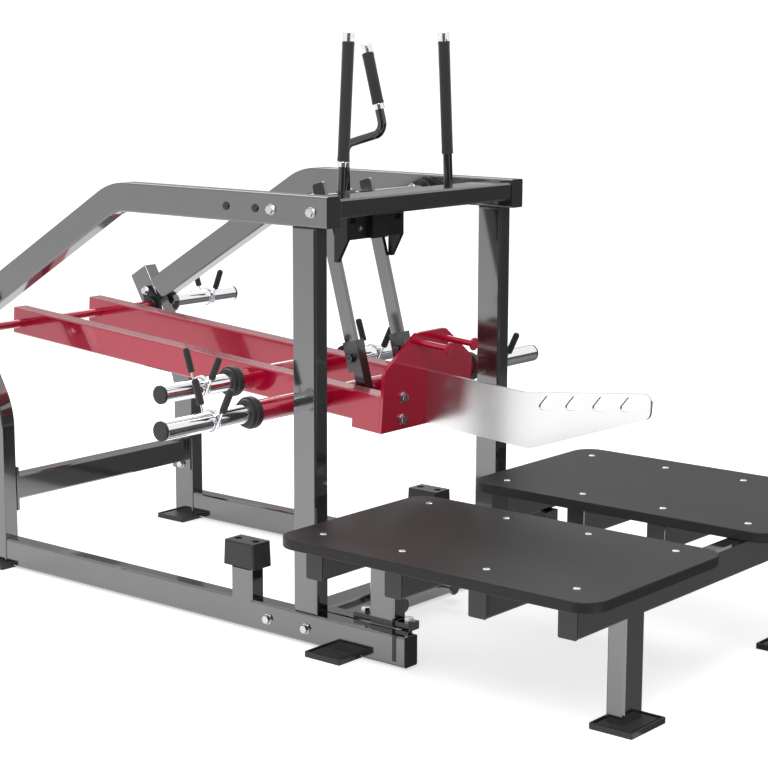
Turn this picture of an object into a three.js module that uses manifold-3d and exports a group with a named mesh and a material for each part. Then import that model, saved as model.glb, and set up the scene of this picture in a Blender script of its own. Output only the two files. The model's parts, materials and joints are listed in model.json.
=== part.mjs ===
// A plate-loaded belt squat machine: a tube frame with a platform in front, a long pivoting lever
// with plate horns and a slotted belt blade, and a rack whose hooks hold the lever up.
// Millimetres, +Z up, the platform toward -Y. The origin is on the floor under the middle.

import * as THREE from 'three';
import { mergeVertices } from 'three/addons/utils/BufferGeometryUtils.js';
import Module from 'manifold-3d';

const wasm = await Module();
wasm.setup();

const rad = THREE.MathUtils.degToRad;

// Clearances
const seatGap = 0.3;
const runGap = 0.6;
const overrun = 5;
const weldTolerance = 0.0001;
const weldBite = 0.5;

// Frame tubes
const frameWidth = 822;
const frameHeight = 1154;
const tubeWidth = 50;
const tubeHeight = 78;
const tubeRound = 5;
const bendRadius = 171;
const lean = rad(30.7);
const baseReach = 289;
const topReach = 39;
const rearUprightY = 1212;
const rearBendHeight = 458;
const leanLength = 382;
const beamJoinReach = 295.9;
const notchStart = 250;
const notchWidth = 13;
const notchHeight = 66;
const notchDepth = 3;

// Crossbars of the frame
const topBarDepth = 100;
const topBarHeight = 48;
const topBarDrop = 8;
const rearBarDepth = 50;
const rearBarHeight = 72;
const rearBarBottom = 190;
const rearFlangeHeight = 130;
const rearFlangeThickness = 8;
const baseBarY = 25;
const baseBarDepth = 77;

// Feet
const footLength = 145;
const footWidth = 116;
const footThickness = 15;
const footSeat = 7;
const footRound = 4;
const frontFootY = 78;
const frontFootShift = 21;
const rearFootShift = -16;
const legFootShift = 7;
const legFootForward = 14;

// Bump stops
const bumpY = 262;
const bumpPostDepth = 74;
const bumpPostHeight = 84;
const bumpLength = 111;
const bumpWidth = 70;
const bumpHeight = 68;
const bumpDraft = 4;
const bumpHoleRadius = 11;
const bumpHoleDepth = 12;
const bumpHoleSpacing = 62;

// Platform
const boardInner = 100;
const boardOuter = 671;
const boardBack = 91;
const boardFront = 1005;
const boardThickness = 26;
const boardBottom = 338;
const boardCorner = 60;
const boardRound = 3;
const screwInner = 170;
const screwOuter = 581;
const screwRowBack = 174;
const screwRowPitch = 243.7;
const screwRows = 4;
const railWidth = 50;
const railHeight = 80;
const railInner = 138;
const railOuter = 613;
const tieHeight = 60;
const legWidth = 80;
const legX = 377.5;
const postFront = 214;
const postDepth = 80;
const slabFront = 256;
const slabBack = 77;
const slabThickness = 16;
const slabInset = 6;
const footRailFront = 238;

// Fasteners
const boltRadius = 10;
const boltHeight = 8;
const boltSides = 10;
const screwHeadRadius = 9;
const screwHeadHeight = 3;
const plugHeight = 4;
const baseBoltDrop = 40;
const baseBoltFront = 36;
const baseBoltRear = 168;
const topBoltFront = 12;
const topBoltRear = 145.5;
const slabBoltFront = 241;
const slabBoltRear = 100;
const rearBoltSpacing = 100;

// Band pegs on the base crossbeam
const bandPegX = 110;
const bandPegHeight = 54;
const bandPegLength = 73;
const bandPegRadius = 8.5;
const bandDiscRadius = 19;
const bandDiscThickness = 6;

// Flange bearings
const bearingRadius = 34;
const bearingEarRadius = 14;
const bearingBoltSpacing = 101;
const bearingFlange = 12;
const bearingDepth = 26;
const bearingHubRadius = 26;
const bearingSides = 16;
const shaftRadius = 12.5;
const shaftEndGap = 16;
const shaftSides = 16;

// Lever, measured along it from its pivot, which sits on the leaning part of the rear upright
const pivotReach = 256.1;
const pivotOffset = -11.34;
const leverPitch = rad(4.04);
const leverHalfWidth = 180;
const leverBeamWidth = 55;
const leverBeamHeight = 79;
const leverRound = 4;
const leverTail = 53;
const boxPlate = 6;
const boxLength = 82;
const boxDrop = 18;
const endPlate = 8;
const headPlate = 10;
const headShoulder = 106;
const headTop = 195;
const headTopHalfWidth = 62;
const headCorner = 22;
const headBoltX = 105;
const headBoltZ = 29.5;
const leverPegX = 53;
const leverPegZ = 170;
const leverPegLength = 105;
const leverPegRadius = 8;
const leverDiscRadius = 17;
const leverDiscThickness = 6;

// Belt blade on the front of the head
const bladeThickness = 9;
const bladeTop = 88;
const bladeBottom = -55;
const bladeFlat = 307;
const bladeHeel = 340;
const bladeReach = 685;
const bladeTipTop = 155;
const bladeTipBottom = 92;
const bladeBendRadius = 90;
const bladeCorner = 22;
const slotCount = 4;
const slotHeight = 36;
const slotCorner = 8;
const slotBand = 9;
const slotStartShare = 0.0912;
const slotPitchShare = 0.211;
const slotLengthShare = 0.1094;
const slotSlantShare = 0.0964;

// Plate horns
const frontHornReach = 1197;
const leverNose = 192;
const rearHornReach = 922;
const hornTubeRadius = 28.5;
const hornTubeSides = 24;
const sleeveRadius = 25;
const sleeveSides = 24;
const sleeveLength = 296;
const rearSleeveLength = 251;
const storageSleeveLength = 282;
const flangeRadius = 41.5;
const flangeThickness = 32;
const flangeRound = 5;
const frontFlangeOut = 39;
const rearFlangeOut = 50;
const capLength = 8;
const capRound = 2;

// Spring collars
const wireRadius = 2.5;
const wireSides = 5;
const collarGap = 0.45;
const curlSteps = 8;
const coilSteps = 19;
const coilPitch = 5.8;
const tailLength = 45;
const wireInGrip = 40;
const collarGripRadius = 9.5;
const collarGripLength = 68;
const collarGripRound = 4;
const collarGripSides = 8;
const frontCollarOut = 150;
const rearCollarOut = 128;
const storageCollarOut = 193;

// Rack, measured down its struts from its shaft
const rackY = 250.5;
const rackDrop = 40.2;
const tubeOffset = 67.5;
const strutX = 97;
const strutThickness = 12.6;
const strutWidth = 40;
const strutTop = 44;
const cheekThickness = 9;
const cheekRise = 105.7;
const cheekRear = 20;
const hookPlate = 8;
const toeDepth = 30;
const toeClearance = 3;
const hookBoltRise = 60.7;
const engageSwing = rad(3.2);
const releaseSwing = rad(5);
const leverRise = rad(1.2);
const hookGap = 0.8;
const hookNutRadius = 11;
const hookNutHeight = 9;
const hookNutSides = 6;

// Release handle
const hubRadius = 21;
const hubLength = 46;
const releaseRadius = 12;
const releaseSides = 10;
const releaseForward = 175;
const releaseShoulder = 136;
const releaseStemLean = 35;
const releaseTop = 373;
const releaseBend = 30;
const bendSteps = 4;
const releaseCollarBottom = 196;
const releaseCollarLength = 16;
const releaseCollarRadius = 15;
const releaseGripLength = 136;
const gripRadius = 16;
const gripSides = 14;
const tipRadius = 14;

// Holding handles behind the top crossbar
const holdRadius = 12.5;
const holdX = 226;
const holdTopX = 195;
const holdFootDrop = 69;
const holdReach = 398;
const holdGripRise = 73;
const holdTipLength = 25;
const holdCollarLength = 14;

// Rack stop under the top crossbar
const stopBarDepth = 45;
const stopBarDrop = 86;
const stopBarHeight = 43;
const stopPlateReach = 25;
const stopPlateThickness = 10;
const stopHousingWidth = 164;
const stopNoseWidth = 62;
const stopNoseDepth = 16;
const stopNoseHeight = 62;
const stopEarGap = 3;
const stopEarThickness = 12;
const stopEarDrop = 146;
const stopEarTipWidth = 12;

// Finishes
const framePaint = { color: 0x3b3d42, roughness: 0.32, metalness: 0.45 };
const redPaint = { color: 0xa30f28, roughness: 0.28, metalness: 0.25 };
const chrome = { color: 0xd6d8db, roughness: 0.14, metalness: 1 };
const brushedSteel = { color: 0xc6c8ca, roughness: 0.34, metalness: 1 };
const galvanised = { color: 0x8d9094, roughness: 0.4, metalness: 0.8 };
const darkSteel = { color: 0x1c1d20, roughness: 0.45, metalness: 0.6 };
const boardTop = { color: 0x2c2d30, roughness: 0.75, metalness: 0 };
const rubber = { color: 0x18191b, roughness: 0.8, metalness: 0 };
const foam = { color: 0x1d1e20, roughness: 0.92, metalness: 0 };

// Places worked out from the sizes
const outerX = frameWidth / 2;
const innerX = outerX - tubeWidth;
const middleX = outerX - tubeWidth / 2;
const shaftHalfLength = innerX - shaftEndGap;
const frontFlangeX = outerX + frontFlangeOut;
const rearFlangeX = leverHalfWidth + rearFlangeOut;
const frontCollarX = frontFlangeX + frontCollarOut;
const rearCollarX = rearFlangeX + rearCollarOut;
const storageCollarX = outerX + storageCollarOut;
const baseBottom = footThickness - footSeat;
const baseTop = baseBottom + tubeHeight;
const topBottom = frameHeight - tubeHeight;
const rearUprightMid = rearUprightY + tubeHeight / 2;
const leanWay = new THREE.Vector2(Math.sin(lean), Math.cos(lean));
const slopeWay = new THREE.Vector2(Math.cos(lean), -Math.sin(lean));
const rearBend = new THREE.Vector2(rearUprightMid, rearBendHeight);
const rearTop = rearBend.clone().addScaledVector(leanWay, leanLength);
const beamJoin = rearBend.clone().addScaledVector(leanWay, beamJoinReach);
const topBendY = beamJoin.x - (frameHeight - tubeHeight / 2 - beamJoin.y) / Math.tan(lean);
const rackHeight = frameHeight - rackDrop;
const holdBottom = frameHeight - holdFootDrop;
const holdTop = frameHeight + holdReach;
const holdGripBottom = frameHeight + holdGripRise;
const leverReach = frontHornReach + leverNose;
const leverWay = new THREE.Vector2(-Math.cos(leverPitch), -Math.sin(leverPitch));
const pivotPoint = rearBend.clone().addScaledVector(leanWay, pivotReach);
pivotPoint.addScaledVector(slopeWay, pivotOffset);
const [pivotY, pivotHeight] = pivotPoint.toArray();
const tubeAtRest = pivotPoint.clone().addScaledVector(leverWay, frontHornReach);
const hungTube = tubeAtRest.clone().sub(new THREE.Vector2(rackY, rackHeight));
const strutLean = Math.asin(tubeOffset / hungTube.length()) - Math.atan2(hungTube.x, -hungTube.y);
const frontmost = -boardFront;
const rearmost = rearTop.x + (tubeHeight / 2) * Math.cos(lean);
const sides = [['left', -1], ['right', 1]];

const machine = new THREE.Group();
machine.position.y = -(frontmost + rearmost) / 2;

const lever = new THREE.Group();
lever.position.set(0, pivotY, pivotHeight);
lever.rotation.x = leverPitch;
machine.add(lever);

const rack = new THREE.Group();
rack.position.set(0, rackY, rackHeight);
rack.rotation.x = -strutLean;
machine.add(rack);

// A closed solid from a closed geometry, its shared corners merged and flat slivers left out
function solidOf(geometry) {
  const bare = geometry.clone();
  bare.deleteAttribute('normal');
  bare.deleteAttribute('uv');
  const merged = mergeVertices(bare, weldTolerance);
  const faces = [];
  for (let i = 0; i < merged.index.count; i += 3) {
    const [a, b, c] = [merged.index.getX(i), merged.index.getX(i + 1), merged.index.getX(i + 2)];
    if (a !== b && b !== c && c !== a) faces.push(a, b, c);
  }
  return new wasm.Manifold(new wasm.Mesh({
    numProp: 3,
    vertProperties: new Float32Array(merged.attributes.position.array),
    triVerts: new Uint32Array(faces),
  }));
}

const asSolid = (piece) => (piece.isBufferGeometry ? solidOf(piece) : piece);
const join = (pieces) => pieces.map(asSolid).reduce((whole, piece) => whole.add(piece));
const cut = (piece, tools) => asSolid(piece).subtract(join(tools));

// A named mesh made of one or more pieces
function add(parent, name, finish, pieces) {
  const { vertProperties, triVerts } = join(pieces).getMesh();
  const geometry = new THREE.BufferGeometry();
  geometry.setAttribute('position', new THREE.BufferAttribute(vertProperties, 3));
  geometry.setIndex(new THREE.BufferAttribute(triVerts, 1));
  geometry.computeVertexNormals();
  const mesh = new THREE.Mesh(geometry, new THREE.MeshStandardMaterial(finish));
  mesh.name = name;
  parent.add(mesh);
  return mesh;
}

const inwardOf = (side) => place(-side, 0, 0);
const outwardOf = (side) => place(side, 0, 0);
const xAxis = new THREE.Vector3(1, 0, 0);
const yAxis = new THREE.Vector3(0, 1, 0);
const ahead = new THREE.Vector3(0, -1, 0);
const zAxis = new THREE.Vector3(0, 0, 1);
const extrudeFrames = {
  x: new THREE.Matrix4().makeBasis(yAxis, zAxis, xAxis),
  y: new THREE.Matrix4().makeBasis(xAxis, zAxis, yAxis.clone().negate()),
  z: new THREE.Matrix4(),
};

// A prism of a shape from one place to another along an axis, the edges of its ends rounded.
// The shape lies in YZ for x, in XZ for y and in XY for z.
function prism(shape, axis, [from, to], round = 0) {
  const geometry = new THREE.ExtrudeGeometry(shape, {
    depth: to - from - 2 * round,
    bevelEnabled: round > 0,
    bevelThickness: round,
    bevelSize: round,
    bevelOffset: -round,
    bevelSegments: 1,
    curveSegments: 3,
  });
  geometry.translate(0, 0, round);
  geometry.applyMatrix4(extrudeFrames[axis]);
  const shift = { x: [from, 0, 0], y: [0, to, 0], z: [0, 0, from] }[axis];
  geometry.translate(...shift);
  return geometry;
}

// A rectangle with rounded corners between two spans
function rectangle([a0, a1], [b0, b1], corner = 0) {
  const shape = new THREE.Shape();
  if (corner === 0) {
    shape.moveTo(a0, b0);
    shape.lineTo(a1, b0);
    shape.lineTo(a1, b1);
    shape.lineTo(a0, b1);
    return shape;
  }
  shape.absarc(a1 - corner, b0 + corner, corner, -Math.PI / 2, 0);
  shape.absarc(a1 - corner, b1 - corner, corner, 0, Math.PI / 2);
  shape.absarc(a0 + corner, b1 - corner, corner, Math.PI / 2, Math.PI);
  shape.absarc(a0 + corner, b0 + corner, corner, Math.PI, Math.PI * 1.5);
  return shape;
}

// A bar filling three spans, the edges of its two faces across an axis rounded
function bar(x, y, z, across = 'x', round = 0) {
  const spans = { x, y, z };
  const [a, b] = { x: [y, z], y: [x, z], z: [x, y] }[across];
  return prism(rectangle(a, b), across, spans[across], round);
}

// The span on one side of the middle plane, or round a centre
const span = (side, from, to) => (side < 0 ? [-to, -from] : [from, to]);
const around = (centre, size) => [centre - size / 2, centre + size / 2];

// A polygon through points
function outline(points) {
  return new THREE.Shape(points.map(([a, b]) => new THREE.Vector2(a, b)));
}

// A polygon through points whose corners are rounded, each point carrying its own radius
function roundedOutline(points) {
  const shape = new THREE.Shape();
  points.forEach(([a, b, radius = 0], i) => {
    const corner = new THREE.Vector2(a, b);
    const before = new THREE.Vector2(...points.at(i - 1));
    const after = new THREE.Vector2(...points[(i + 1) % points.length]);
    const back = before.sub(corner).normalize();
    const ahead = after.sub(corner).normalize();
    const angle = Math.acos(back.dot(ahead));
    const reach = radius / Math.tan(angle / 2);
    const first = corner.clone().addScaledVector(back, reach);
    const last = corner.clone().addScaledVector(ahead, reach);
    if (i === 0) shape.moveTo(first.x, first.y);
    if (i > 0) shape.lineTo(first.x, first.y);
    if (radius > 0) {
      const middle = back.clone().add(ahead).normalize();
      const centre = corner.clone().addScaledVector(middle, radius / Math.sin(angle / 2));
      const start = first.clone().sub(centre).angle();
      const end = last.clone().sub(centre).angle();
      const clockwise = back.cross(ahead) > 0;
      shape.absarc(centre.x, centre.y, radius, start, end, clockwise);
    }
  });
  return shape;
}

// The outline of a bar of one height along three points, bent at the middle one
function bentOutline(start, corner, end, radius, height) {
  const into = corner.clone().sub(start).normalize();
  const out = end.clone().sub(corner).normalize();
  const turn = Math.sign(into.cross(out));
  const angle = Math.acos(into.dot(out));
  const leftOf = (way) => new THREE.Vector2(-way.y, way.x).multiplyScalar(turn);
  const first = corner.clone().addScaledVector(into, -radius * Math.tan(angle / 2));
  const centre = first.clone().addScaledVector(leftOf(into), radius);
  const startAngle = first.clone().sub(centre).angle();
  const endAngle = startAngle + turn * angle;
  const startSide = leftOf(into).multiplyScalar(height / 2);
  const endSide = leftOf(out).multiplyScalar(height / 2);
  const shape = new THREE.Shape();
  shape.moveTo(start.x + startSide.x, start.y + startSide.y);
  shape.lineTo(first.x + startSide.x, first.y + startSide.y);
  shape.absarc(centre.x, centre.y, radius - height / 2, startAngle, endAngle, turn < 0);
  shape.lineTo(end.x + endSide.x, end.y + endSide.y);
  shape.lineTo(end.x - endSide.x, end.y - endSide.y);
  shape.absarc(centre.x, centre.y, radius + height / 2, endAngle, startAngle, turn > 0);
  shape.lineTo(start.x - startSide.x, start.y - startSide.y);
  return shape;
}

// A body of revolution from [radius, distance] pairs, standing at a place along an axis
function revolve(profile, at, axis, count) {
  const points = profile.map(([radius, along]) => new THREE.Vector2(radius, along));
  const geometry = new THREE.LatheGeometry(points, count);
  geometry.applyQuaternion(new THREE.Quaternion().setFromUnitVectors(yAxis, axis));
  geometry.translate(at.x, at.y, at.z);
  return geometry;
}

const place = (x, y, z) => new THREE.Vector3(x, y, z);

// A round rod, a ring whose flat-sided bore clears its inner radius, and a disc with a rounded rim
function rod(radius, from, to, count) {
  const way = to.clone().sub(from);
  const length = way.length();
  return revolve([[0, 0], [radius, 0], [radius, length], [0, length]], from, way.normalize(), count);
}

function ring(inner, outer, length, round, at, axis, count) {
  const bore = inner / Math.cos(Math.PI / count);
  const profile = [
    [bore, 0],
    [outer - round, 0],
    [outer, round],
    [outer, length - round],
    [outer - round, length],
    [bore, length],
    [bore, 0],
  ];
  return revolve(profile, at, axis, count);
}

function disc(radius, length, round, at, axis, count) {
  const profile = [[0, 0], [radius, 0], [radius, length - round], [radius - round, length], [0, length]];
  return revolve(profile, at, axis, count);
}

// A bolt head on a face, sunk a little into it
function bolt(at, axis) {
  const root = at.clone().addScaledVector(axis, -weldBite);
  return disc(boltRadius, boltHeight + weldBite, boltHeight / 3, root, axis, boltSides);
}

// A round bar through points, each corner mitred, of one section all along
function sweep(points, radius, count) {
  const ways = points.slice(1).map((point, i) => point.clone().sub(points[i]).normalize());
  const side = new THREE.Vector3().crossVectors(ways[0], xAxis.clone().addScaledVector(zAxis, 0.5));
  side.normalize();
  const other = new THREE.Vector3().crossVectors(ways[0], side);
  const rings = [[]];
  for (let k = 0; k < count; k++) {
    const angle = (2 * Math.PI * k) / count;
    const corner = points[0].clone();
    corner.addScaledVector(side, radius * Math.cos(angle));
    corner.addScaledVector(other, radius * Math.sin(angle));
    rings[0].push(corner);
  }
  for (let i = 1; i < points.length; i++) {
    const way = ways[i - 1];
    const mitre = way.clone().add(ways[Math.min(i, ways.length - 1)]).normalize();
    rings.push(rings[i - 1].map((corner) => {
      const reach = points[i].clone().sub(corner).dot(mitre) / way.dot(mitre);
      return corner.clone().addScaledVector(way, reach);
    }));
  }
  const corners = rings.flat();
  const faces = [];
  for (let i = 0; i < points.length - 1; i++) {
    for (let k = 0; k < count; k++) {
      const next = (k + 1) % count;
      const [a, b, c, d] = [i * count + k, i * count + next, (i + 1) * count + next, (i + 1) * count + k];
      faces.push(a, b, c, a, c, d);
    }
  }
  const last = (points.length - 1) * count;
  for (let k = 1; k < count - 1; k++) {
    faces.push(0, k + 1, k, last, last + k, last + k + 1);
  }
  const geometry = new THREE.BufferGeometry().setFromPoints(corners);
  geometry.setIndex(faces);
  return geometry;
}

// Points along a polyline whose inner corners are bent to a radius
function bentPath(points, radius, steps) {
  const path = [points[0]];
  for (let i = 1; i < points.length - 1; i++) {
    const back = points[i - 1].clone().sub(points[i]).normalize();
    const ahead = points[i + 1].clone().sub(points[i]).normalize();
    const angle = back.angleTo(ahead);
    const middle = back.clone().add(ahead).normalize();
    const centre = points[i].clone().addScaledVector(middle, radius / Math.sin(angle / 2));
    const first = points[i].clone().addScaledVector(back, radius / Math.tan(angle / 2)).sub(centre);
    const axis = new THREE.Vector3().crossVectors(ahead, back).normalize();
    for (let k = 0; k <= steps; k++) {
      const swing = ((Math.PI - angle) * k) / steps;
      path.push(first.clone().applyAxisAngle(axis, swing).add(centre));
    }
  }
  path.push(points.at(-1));
  return path;
}

// Base beams with the bump posts standing on them
function baseBeam(side) {
  const x = span(side, innerX, outerX);
  const beam = bar(x, [-baseReach, rearUprightY - seatGap], [baseBottom, baseTop], 'x', tubeRound);
  const postZ = [baseBottom + tubeHeight / 2, baseTop + bumpPostHeight];
  const post = bar(x, around(bumpY, bumpPostDepth), postZ, 'x', tubeRound);
  const notchX = span(side, outerX - notchDepth, outerX + overrun);
  const notchY = [-notchStart - notchWidth, -notchStart];
  const notch = bar(notchX, notchY, [baseTop - notchHeight, baseTop + overrun]);
  const bolts = [baseBoltFront, baseBoltRear].map((y) => {
    return bolt(place(side * outerX, y, baseTop - baseBoltDrop), outwardOf(side));
  });
  return join([cut(join([beam, post]), [notch]), ...bolts]);
}

function frontUpright(side) {
  const z = [baseTop + seatGap, topBottom - seatGap];
  return bar(span(side, innerX, outerX), [0, tubeHeight], z, 'x', tubeRound);
}

function rearUpright(side) {
  const foot = new THREE.Vector2(rearUprightMid, baseBottom);
  const shape = bentOutline(foot, rearBend, rearTop, bendRadius, tubeHeight);
  return prism(shape, 'x', span(side, innerX, outerX), tubeRound);
}

// The top beam runs level, bends down and ends square on the leaning upright
function topBeam(side) {
  const height = frameHeight - tubeHeight / 2;
  const start = new THREE.Vector2(-topReach, height);
  const bend = new THREE.Vector2(topBendY, height);
  const uprightReach = rearBend.clone().sub(bend).dot(slopeWay) - tubeHeight / 2;
  const end = bend.clone().addScaledVector(slopeWay, uprightReach - seatGap);
  const shape = bentOutline(start, bend, end, bendRadius, tubeHeight);
  const bolts = [topBoltFront, topBoltRear].map((y) => {
    return bolt(place(side * outerX, y, frameHeight - baseBoltDrop), outwardOf(side));
  });
  const plugs = [-1, 1].map((turnSign) => {
    const at = place(side * (outerX - weldBite), rackY + (turnSign * bearingBoltSpacing) / 2, rackHeight);
    return disc(boltRadius, plugHeight, capRound, at, outwardOf(side), boltSides);
  });
  return join([prism(shape, 'x', span(side, innerX, outerX), tubeRound), ...bolts, ...plugs]);
}

const betweenTubes = [-innerX + seatGap, innerX - seatGap];
const topBarZ = [frameHeight - topBarDrop - topBarHeight, frameHeight - topBarDrop];
const topBarBack = topBarDepth - topReach;
const rearBarMid = rearBarBottom + rearBarHeight / 2;

function topCrossbar() {
  return bar(betweenTubes, [-topReach, topBarBack], topBarZ, 'y', tubeRound);
}

// The rear crossbeam ends in flange plates bolted to the rear uprights
function rearCrossbeam() {
  const beamY = around(rearUprightMid, rearBarDepth);
  const plateY = around(rearUprightMid, tubeHeight);
  const plates = sides.map(([, side]) => {
    const x = span(side, innerX - seatGap - rearFlangeThickness, innerX - seatGap);
    return bar(x, plateY, around(rearBarMid, rearFlangeHeight));
  });
  const beam = bar(betweenTubes, beamY, around(rearBarMid, rearBarHeight), 'y', tubeRound);
  const bolts = sides.flatMap(([, side]) => [-1, 1].map((turnSign) => {
    const x = side * (innerX - seatGap - rearFlangeThickness);
    return bolt(place(x, rearUprightMid, rearBarMid + (turnSign * rearBoltSpacing) / 2), inwardOf(side));
  }));
  return join([beam, ...plates, ...bolts]);
}

// Band pegs stand out of the base crossbeam and end in discs
function baseCrossbeam() {
  const y = [baseBarY, baseBarY + baseBarDepth];
  const pegs = sides.flatMap(([, side]) => {
    const from = place(side * bandPegX, baseBarY + weldBite, bandPegHeight);
    const to = place(side * bandPegX, baseBarY - bandPegLength, bandPegHeight);
    const discAt = place(to.x, to.y + bandDiscThickness, bandPegHeight);
    const end = disc(bandDiscRadius, bandDiscThickness, capRound, discAt, ahead, shaftSides);
    return [rod(bandPegRadius, from, to, boltSides), end];
  });
  return join([bar(betweenTubes, y, [baseBottom, baseTop], 'y', tubeRound), ...pegs]);
}

// A foot is a pad with a shallow channel for the tube that stands in it
function foot(x, y, tubeX, tubeY) {
  const shape = rectangle(around(x, footLength), around(y, footWidth), footRound);
  const pad = prism(shape, 'z', [0, footThickness]);
  const grown = ([from, to]) => [from - seatGap, to + seatGap];
  const seat = bar(grown(tubeX), grown(tubeY), [baseBottom - seatGap, footThickness + overrun]);
  return cut(pad, [seat]);
}

const legY = screwRowBack + screwRowPitch * (screwRows - 1);

function feet(side) {
  const tubeX = span(side, innerX, outerX);
  const tubeY = [-baseReach, rearUprightY + tubeHeight];
  const legSpan = span(side, legX - legWidth / 2, legX + legWidth / 2);
  return {
    front: foot(side * (middleX + frontFootShift), -frontFootY, span(side, slabX[0], outerX), tubeY),
    rear: foot(side * (middleX + rearFootShift), rearUprightMid, tubeX, tubeY),
    leg: foot(side * (legX + legFootShift), -legY - legFootForward, legSpan, around(-legY, railWidth)),
  };
}

// Bump blocks taper toward their top and have two blind holes in it
function bumpBlock(side) {
  const bottom = baseTop + bumpPostHeight + seatGap;
  const top = bottom + bumpHeight;
  const shape = outline([
    [bumpY - bumpLength / 2, bottom],
    [bumpY + bumpLength / 2, bottom],
    [bumpY + bumpLength / 2 - bumpDraft, top],
    [bumpY - bumpLength / 2 + bumpDraft, top],
  ]);
  const block = prism(shape, 'x', around(side * middleX, bumpWidth), bumpDraft);
  const holes = [-1, 1].map((turnSign) => {
    const y = bumpY + (turnSign * bumpHoleSpacing) / 2;
    const from = place(side * middleX, y, top - bumpHoleDepth);
    return rod(bumpHoleRadius, from, place(side * middleX, y, top + overrun), boltSides);
  });
  return cut(block, holes);
}

// Platform: two screwed boards on one welded frame of rails, ties and front legs
const railZ = [boardBottom - seatGap - railHeight, boardBottom - seatGap];

function platformFrame() {
  const rails = sides.flatMap(([, side]) => {
    const rows = [];
    for (let row = 0; row < screwRows - 1; row++) {
      const y = around(-screwRowBack - row * screwRowPitch, railWidth);
      rows.push(bar(span(side, railInner, railOuter), y, railZ, 'y', tubeRound));
    }
    const tieX = around((side * (railInner + railOuter)) / 2, railWidth);
    rows.push(bar(tieX, [-legY, -screwRowBack], [railZ[1] - tieHeight, railZ[1] - tubeRound]));
    const legSpan = span(side, legX - legWidth / 2, legX + legWidth / 2);
    rows.push(bar(legSpan, around(-legY, railWidth), [baseBottom, railZ[0] + tubeRound], 'x', tubeRound));
    return rows;
  });
  const front = bar([-railOuter, railOuter], around(-legY, railWidth), railZ, 'y', tubeRound);
  return join([front, ...rails]);
}

function board(side) {
  const shape = rectangle(span(side, boardInner, boardOuter), [-boardFront, -boardBack], boardCorner);
  const top = boardBottom + boardThickness;
  const screws = [screwInner, screwOuter].flatMap((x) => {
    return Array.from({ length: screwRows }, (_, row) => {
      const at = place(side * x, -screwRowBack - row * screwRowPitch, top - weldBite);
      return disc(screwHeadRadius, screwHeadHeight, screwHeadHeight / 2, at, zAxis, boltSides);
    });
  });
  return join([prism(shape, 'z', [boardBottom, top], boardRound), ...screws]);
}

// Each back post stands on a slab bolted to a short rail inside the base beam
const slabX = [innerX - seatGap - tubeWidth, innerX - seatGap - slabInset];
const slabTop = baseTop + slabThickness;

function platformPost(side) {
  const railX = span(side, slabX[0], innerX - seatGap);
  const rail = bar(railX, [-footRailFront, baseBarY - seatGap], [baseBottom, baseTop], 'x', tubeRound);
  const slab = bar(span(side, ...slabX), [-slabFront, -slabBack], [baseTop - tubeRound, slabTop]);
  const postZ = [baseTop, railZ[0] - seatGap];
  const post = bar(railX, [-postFront, postDepth - postFront], postZ, 'x', tubeRound);
  const bolts = [slabBoltFront, slabBoltRear].map((y) => {
    return bolt(place((side * (slabX[0] + slabX[1])) / 2, -y, slabTop), zAxis);
  });
  return join([rail, slab, post, ...bolts]);
}

// A two-bolt flange bearing on an inner face, its ears along a direction in YZ
function bearingOutline() {
  const reach = bearingBoltSpacing / 2;
  const tangent = Math.acos((bearingRadius - bearingEarRadius) / reach);
  const shape = new THREE.Shape();
  shape.absarc(reach, 0, bearingEarRadius, -tangent, tangent);
  shape.absarc(0, 0, bearingRadius, tangent, Math.PI - tangent);
  shape.absarc(-reach, 0, bearingEarRadius, Math.PI - tangent, Math.PI + tangent);
  shape.absarc(0, 0, bearingRadius, Math.PI + tangent, 2 * Math.PI - tangent);
  return shape;
}

function bearing(side, y, z, turn) {
  const inward = xAxis.clone().multiplyScalar(-side);
  const plate = prism(bearingOutline(), 'x', span(side, innerX - seatGap - bearingFlange, innerX - seatGap));
  plate.rotateX(turn);
  plate.translate(0, y, z);
  const face = innerX - seatGap;
  const hub = disc(bearingHubRadius, bearingDepth, capRound, place(side * face, y, z), inward, bearingSides);
  const from = place(side * (face + overrun), y, z);
  const to = place(side * (face - bearingDepth - overrun), y, z);
  const bolts = [-1, 1].map((turnSign) => {
    const reach = (turnSign * bearingBoltSpacing) / 2;
    const at = place(side * (face - bearingFlange), y + reach * Math.cos(turn), z + reach * Math.sin(turn));
    return bolt(at, inward);
  });
  return cut(join([plate, hub, ...bolts]), [rod(shaftRadius + runGap, from, to, shaftSides)]);
}

const leanTurn = Math.PI / 2 - lean;

// Holding handles lean inward behind the top crossbar
const holdY = topBarBack + seatGap + holdRadius;

function holdPoint(side, height) {
  const share = (height - holdBottom) / (holdTop - holdBottom);
  return place(side * (holdX + (holdTopX - holdX) * share), holdY, height);
}

function holdSleeve(side, from, to, radius) {
  const start = holdPoint(side, from);
  const way = holdPoint(side, to).sub(start);
  const length = way.length();
  return ring(holdRadius + seatGap, radius, length, capRound, start, way.normalize(), gripSides);
}

const holdGripTop = holdTop - holdTipLength;

// The tube, its tip and, on the left one, a collar under the grip
function holdHandle(side) {
  const tubeTop = holdPoint(side, holdGripTop + holdTipLength / 2);
  const tube = rod(holdRadius, holdPoint(side, holdBottom), tubeTop, gripSides);
  const start = holdPoint(side, holdGripTop + seatGap);
  const way = holdPoint(side, holdTop).sub(start).normalize();
  const tip = disc(tipRadius, holdTipLength - seatGap, capRound, start, way, gripSides);
  const collarAt = holdPoint(side, holdGripBottom - holdCollarLength);
  const collar = disc(gripRadius, holdCollarLength - seatGap, capRound, collarAt, way, gripSides);
  return join(side < 0 ? [tube, tip, collar] : [tube, tip]);
}

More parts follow.
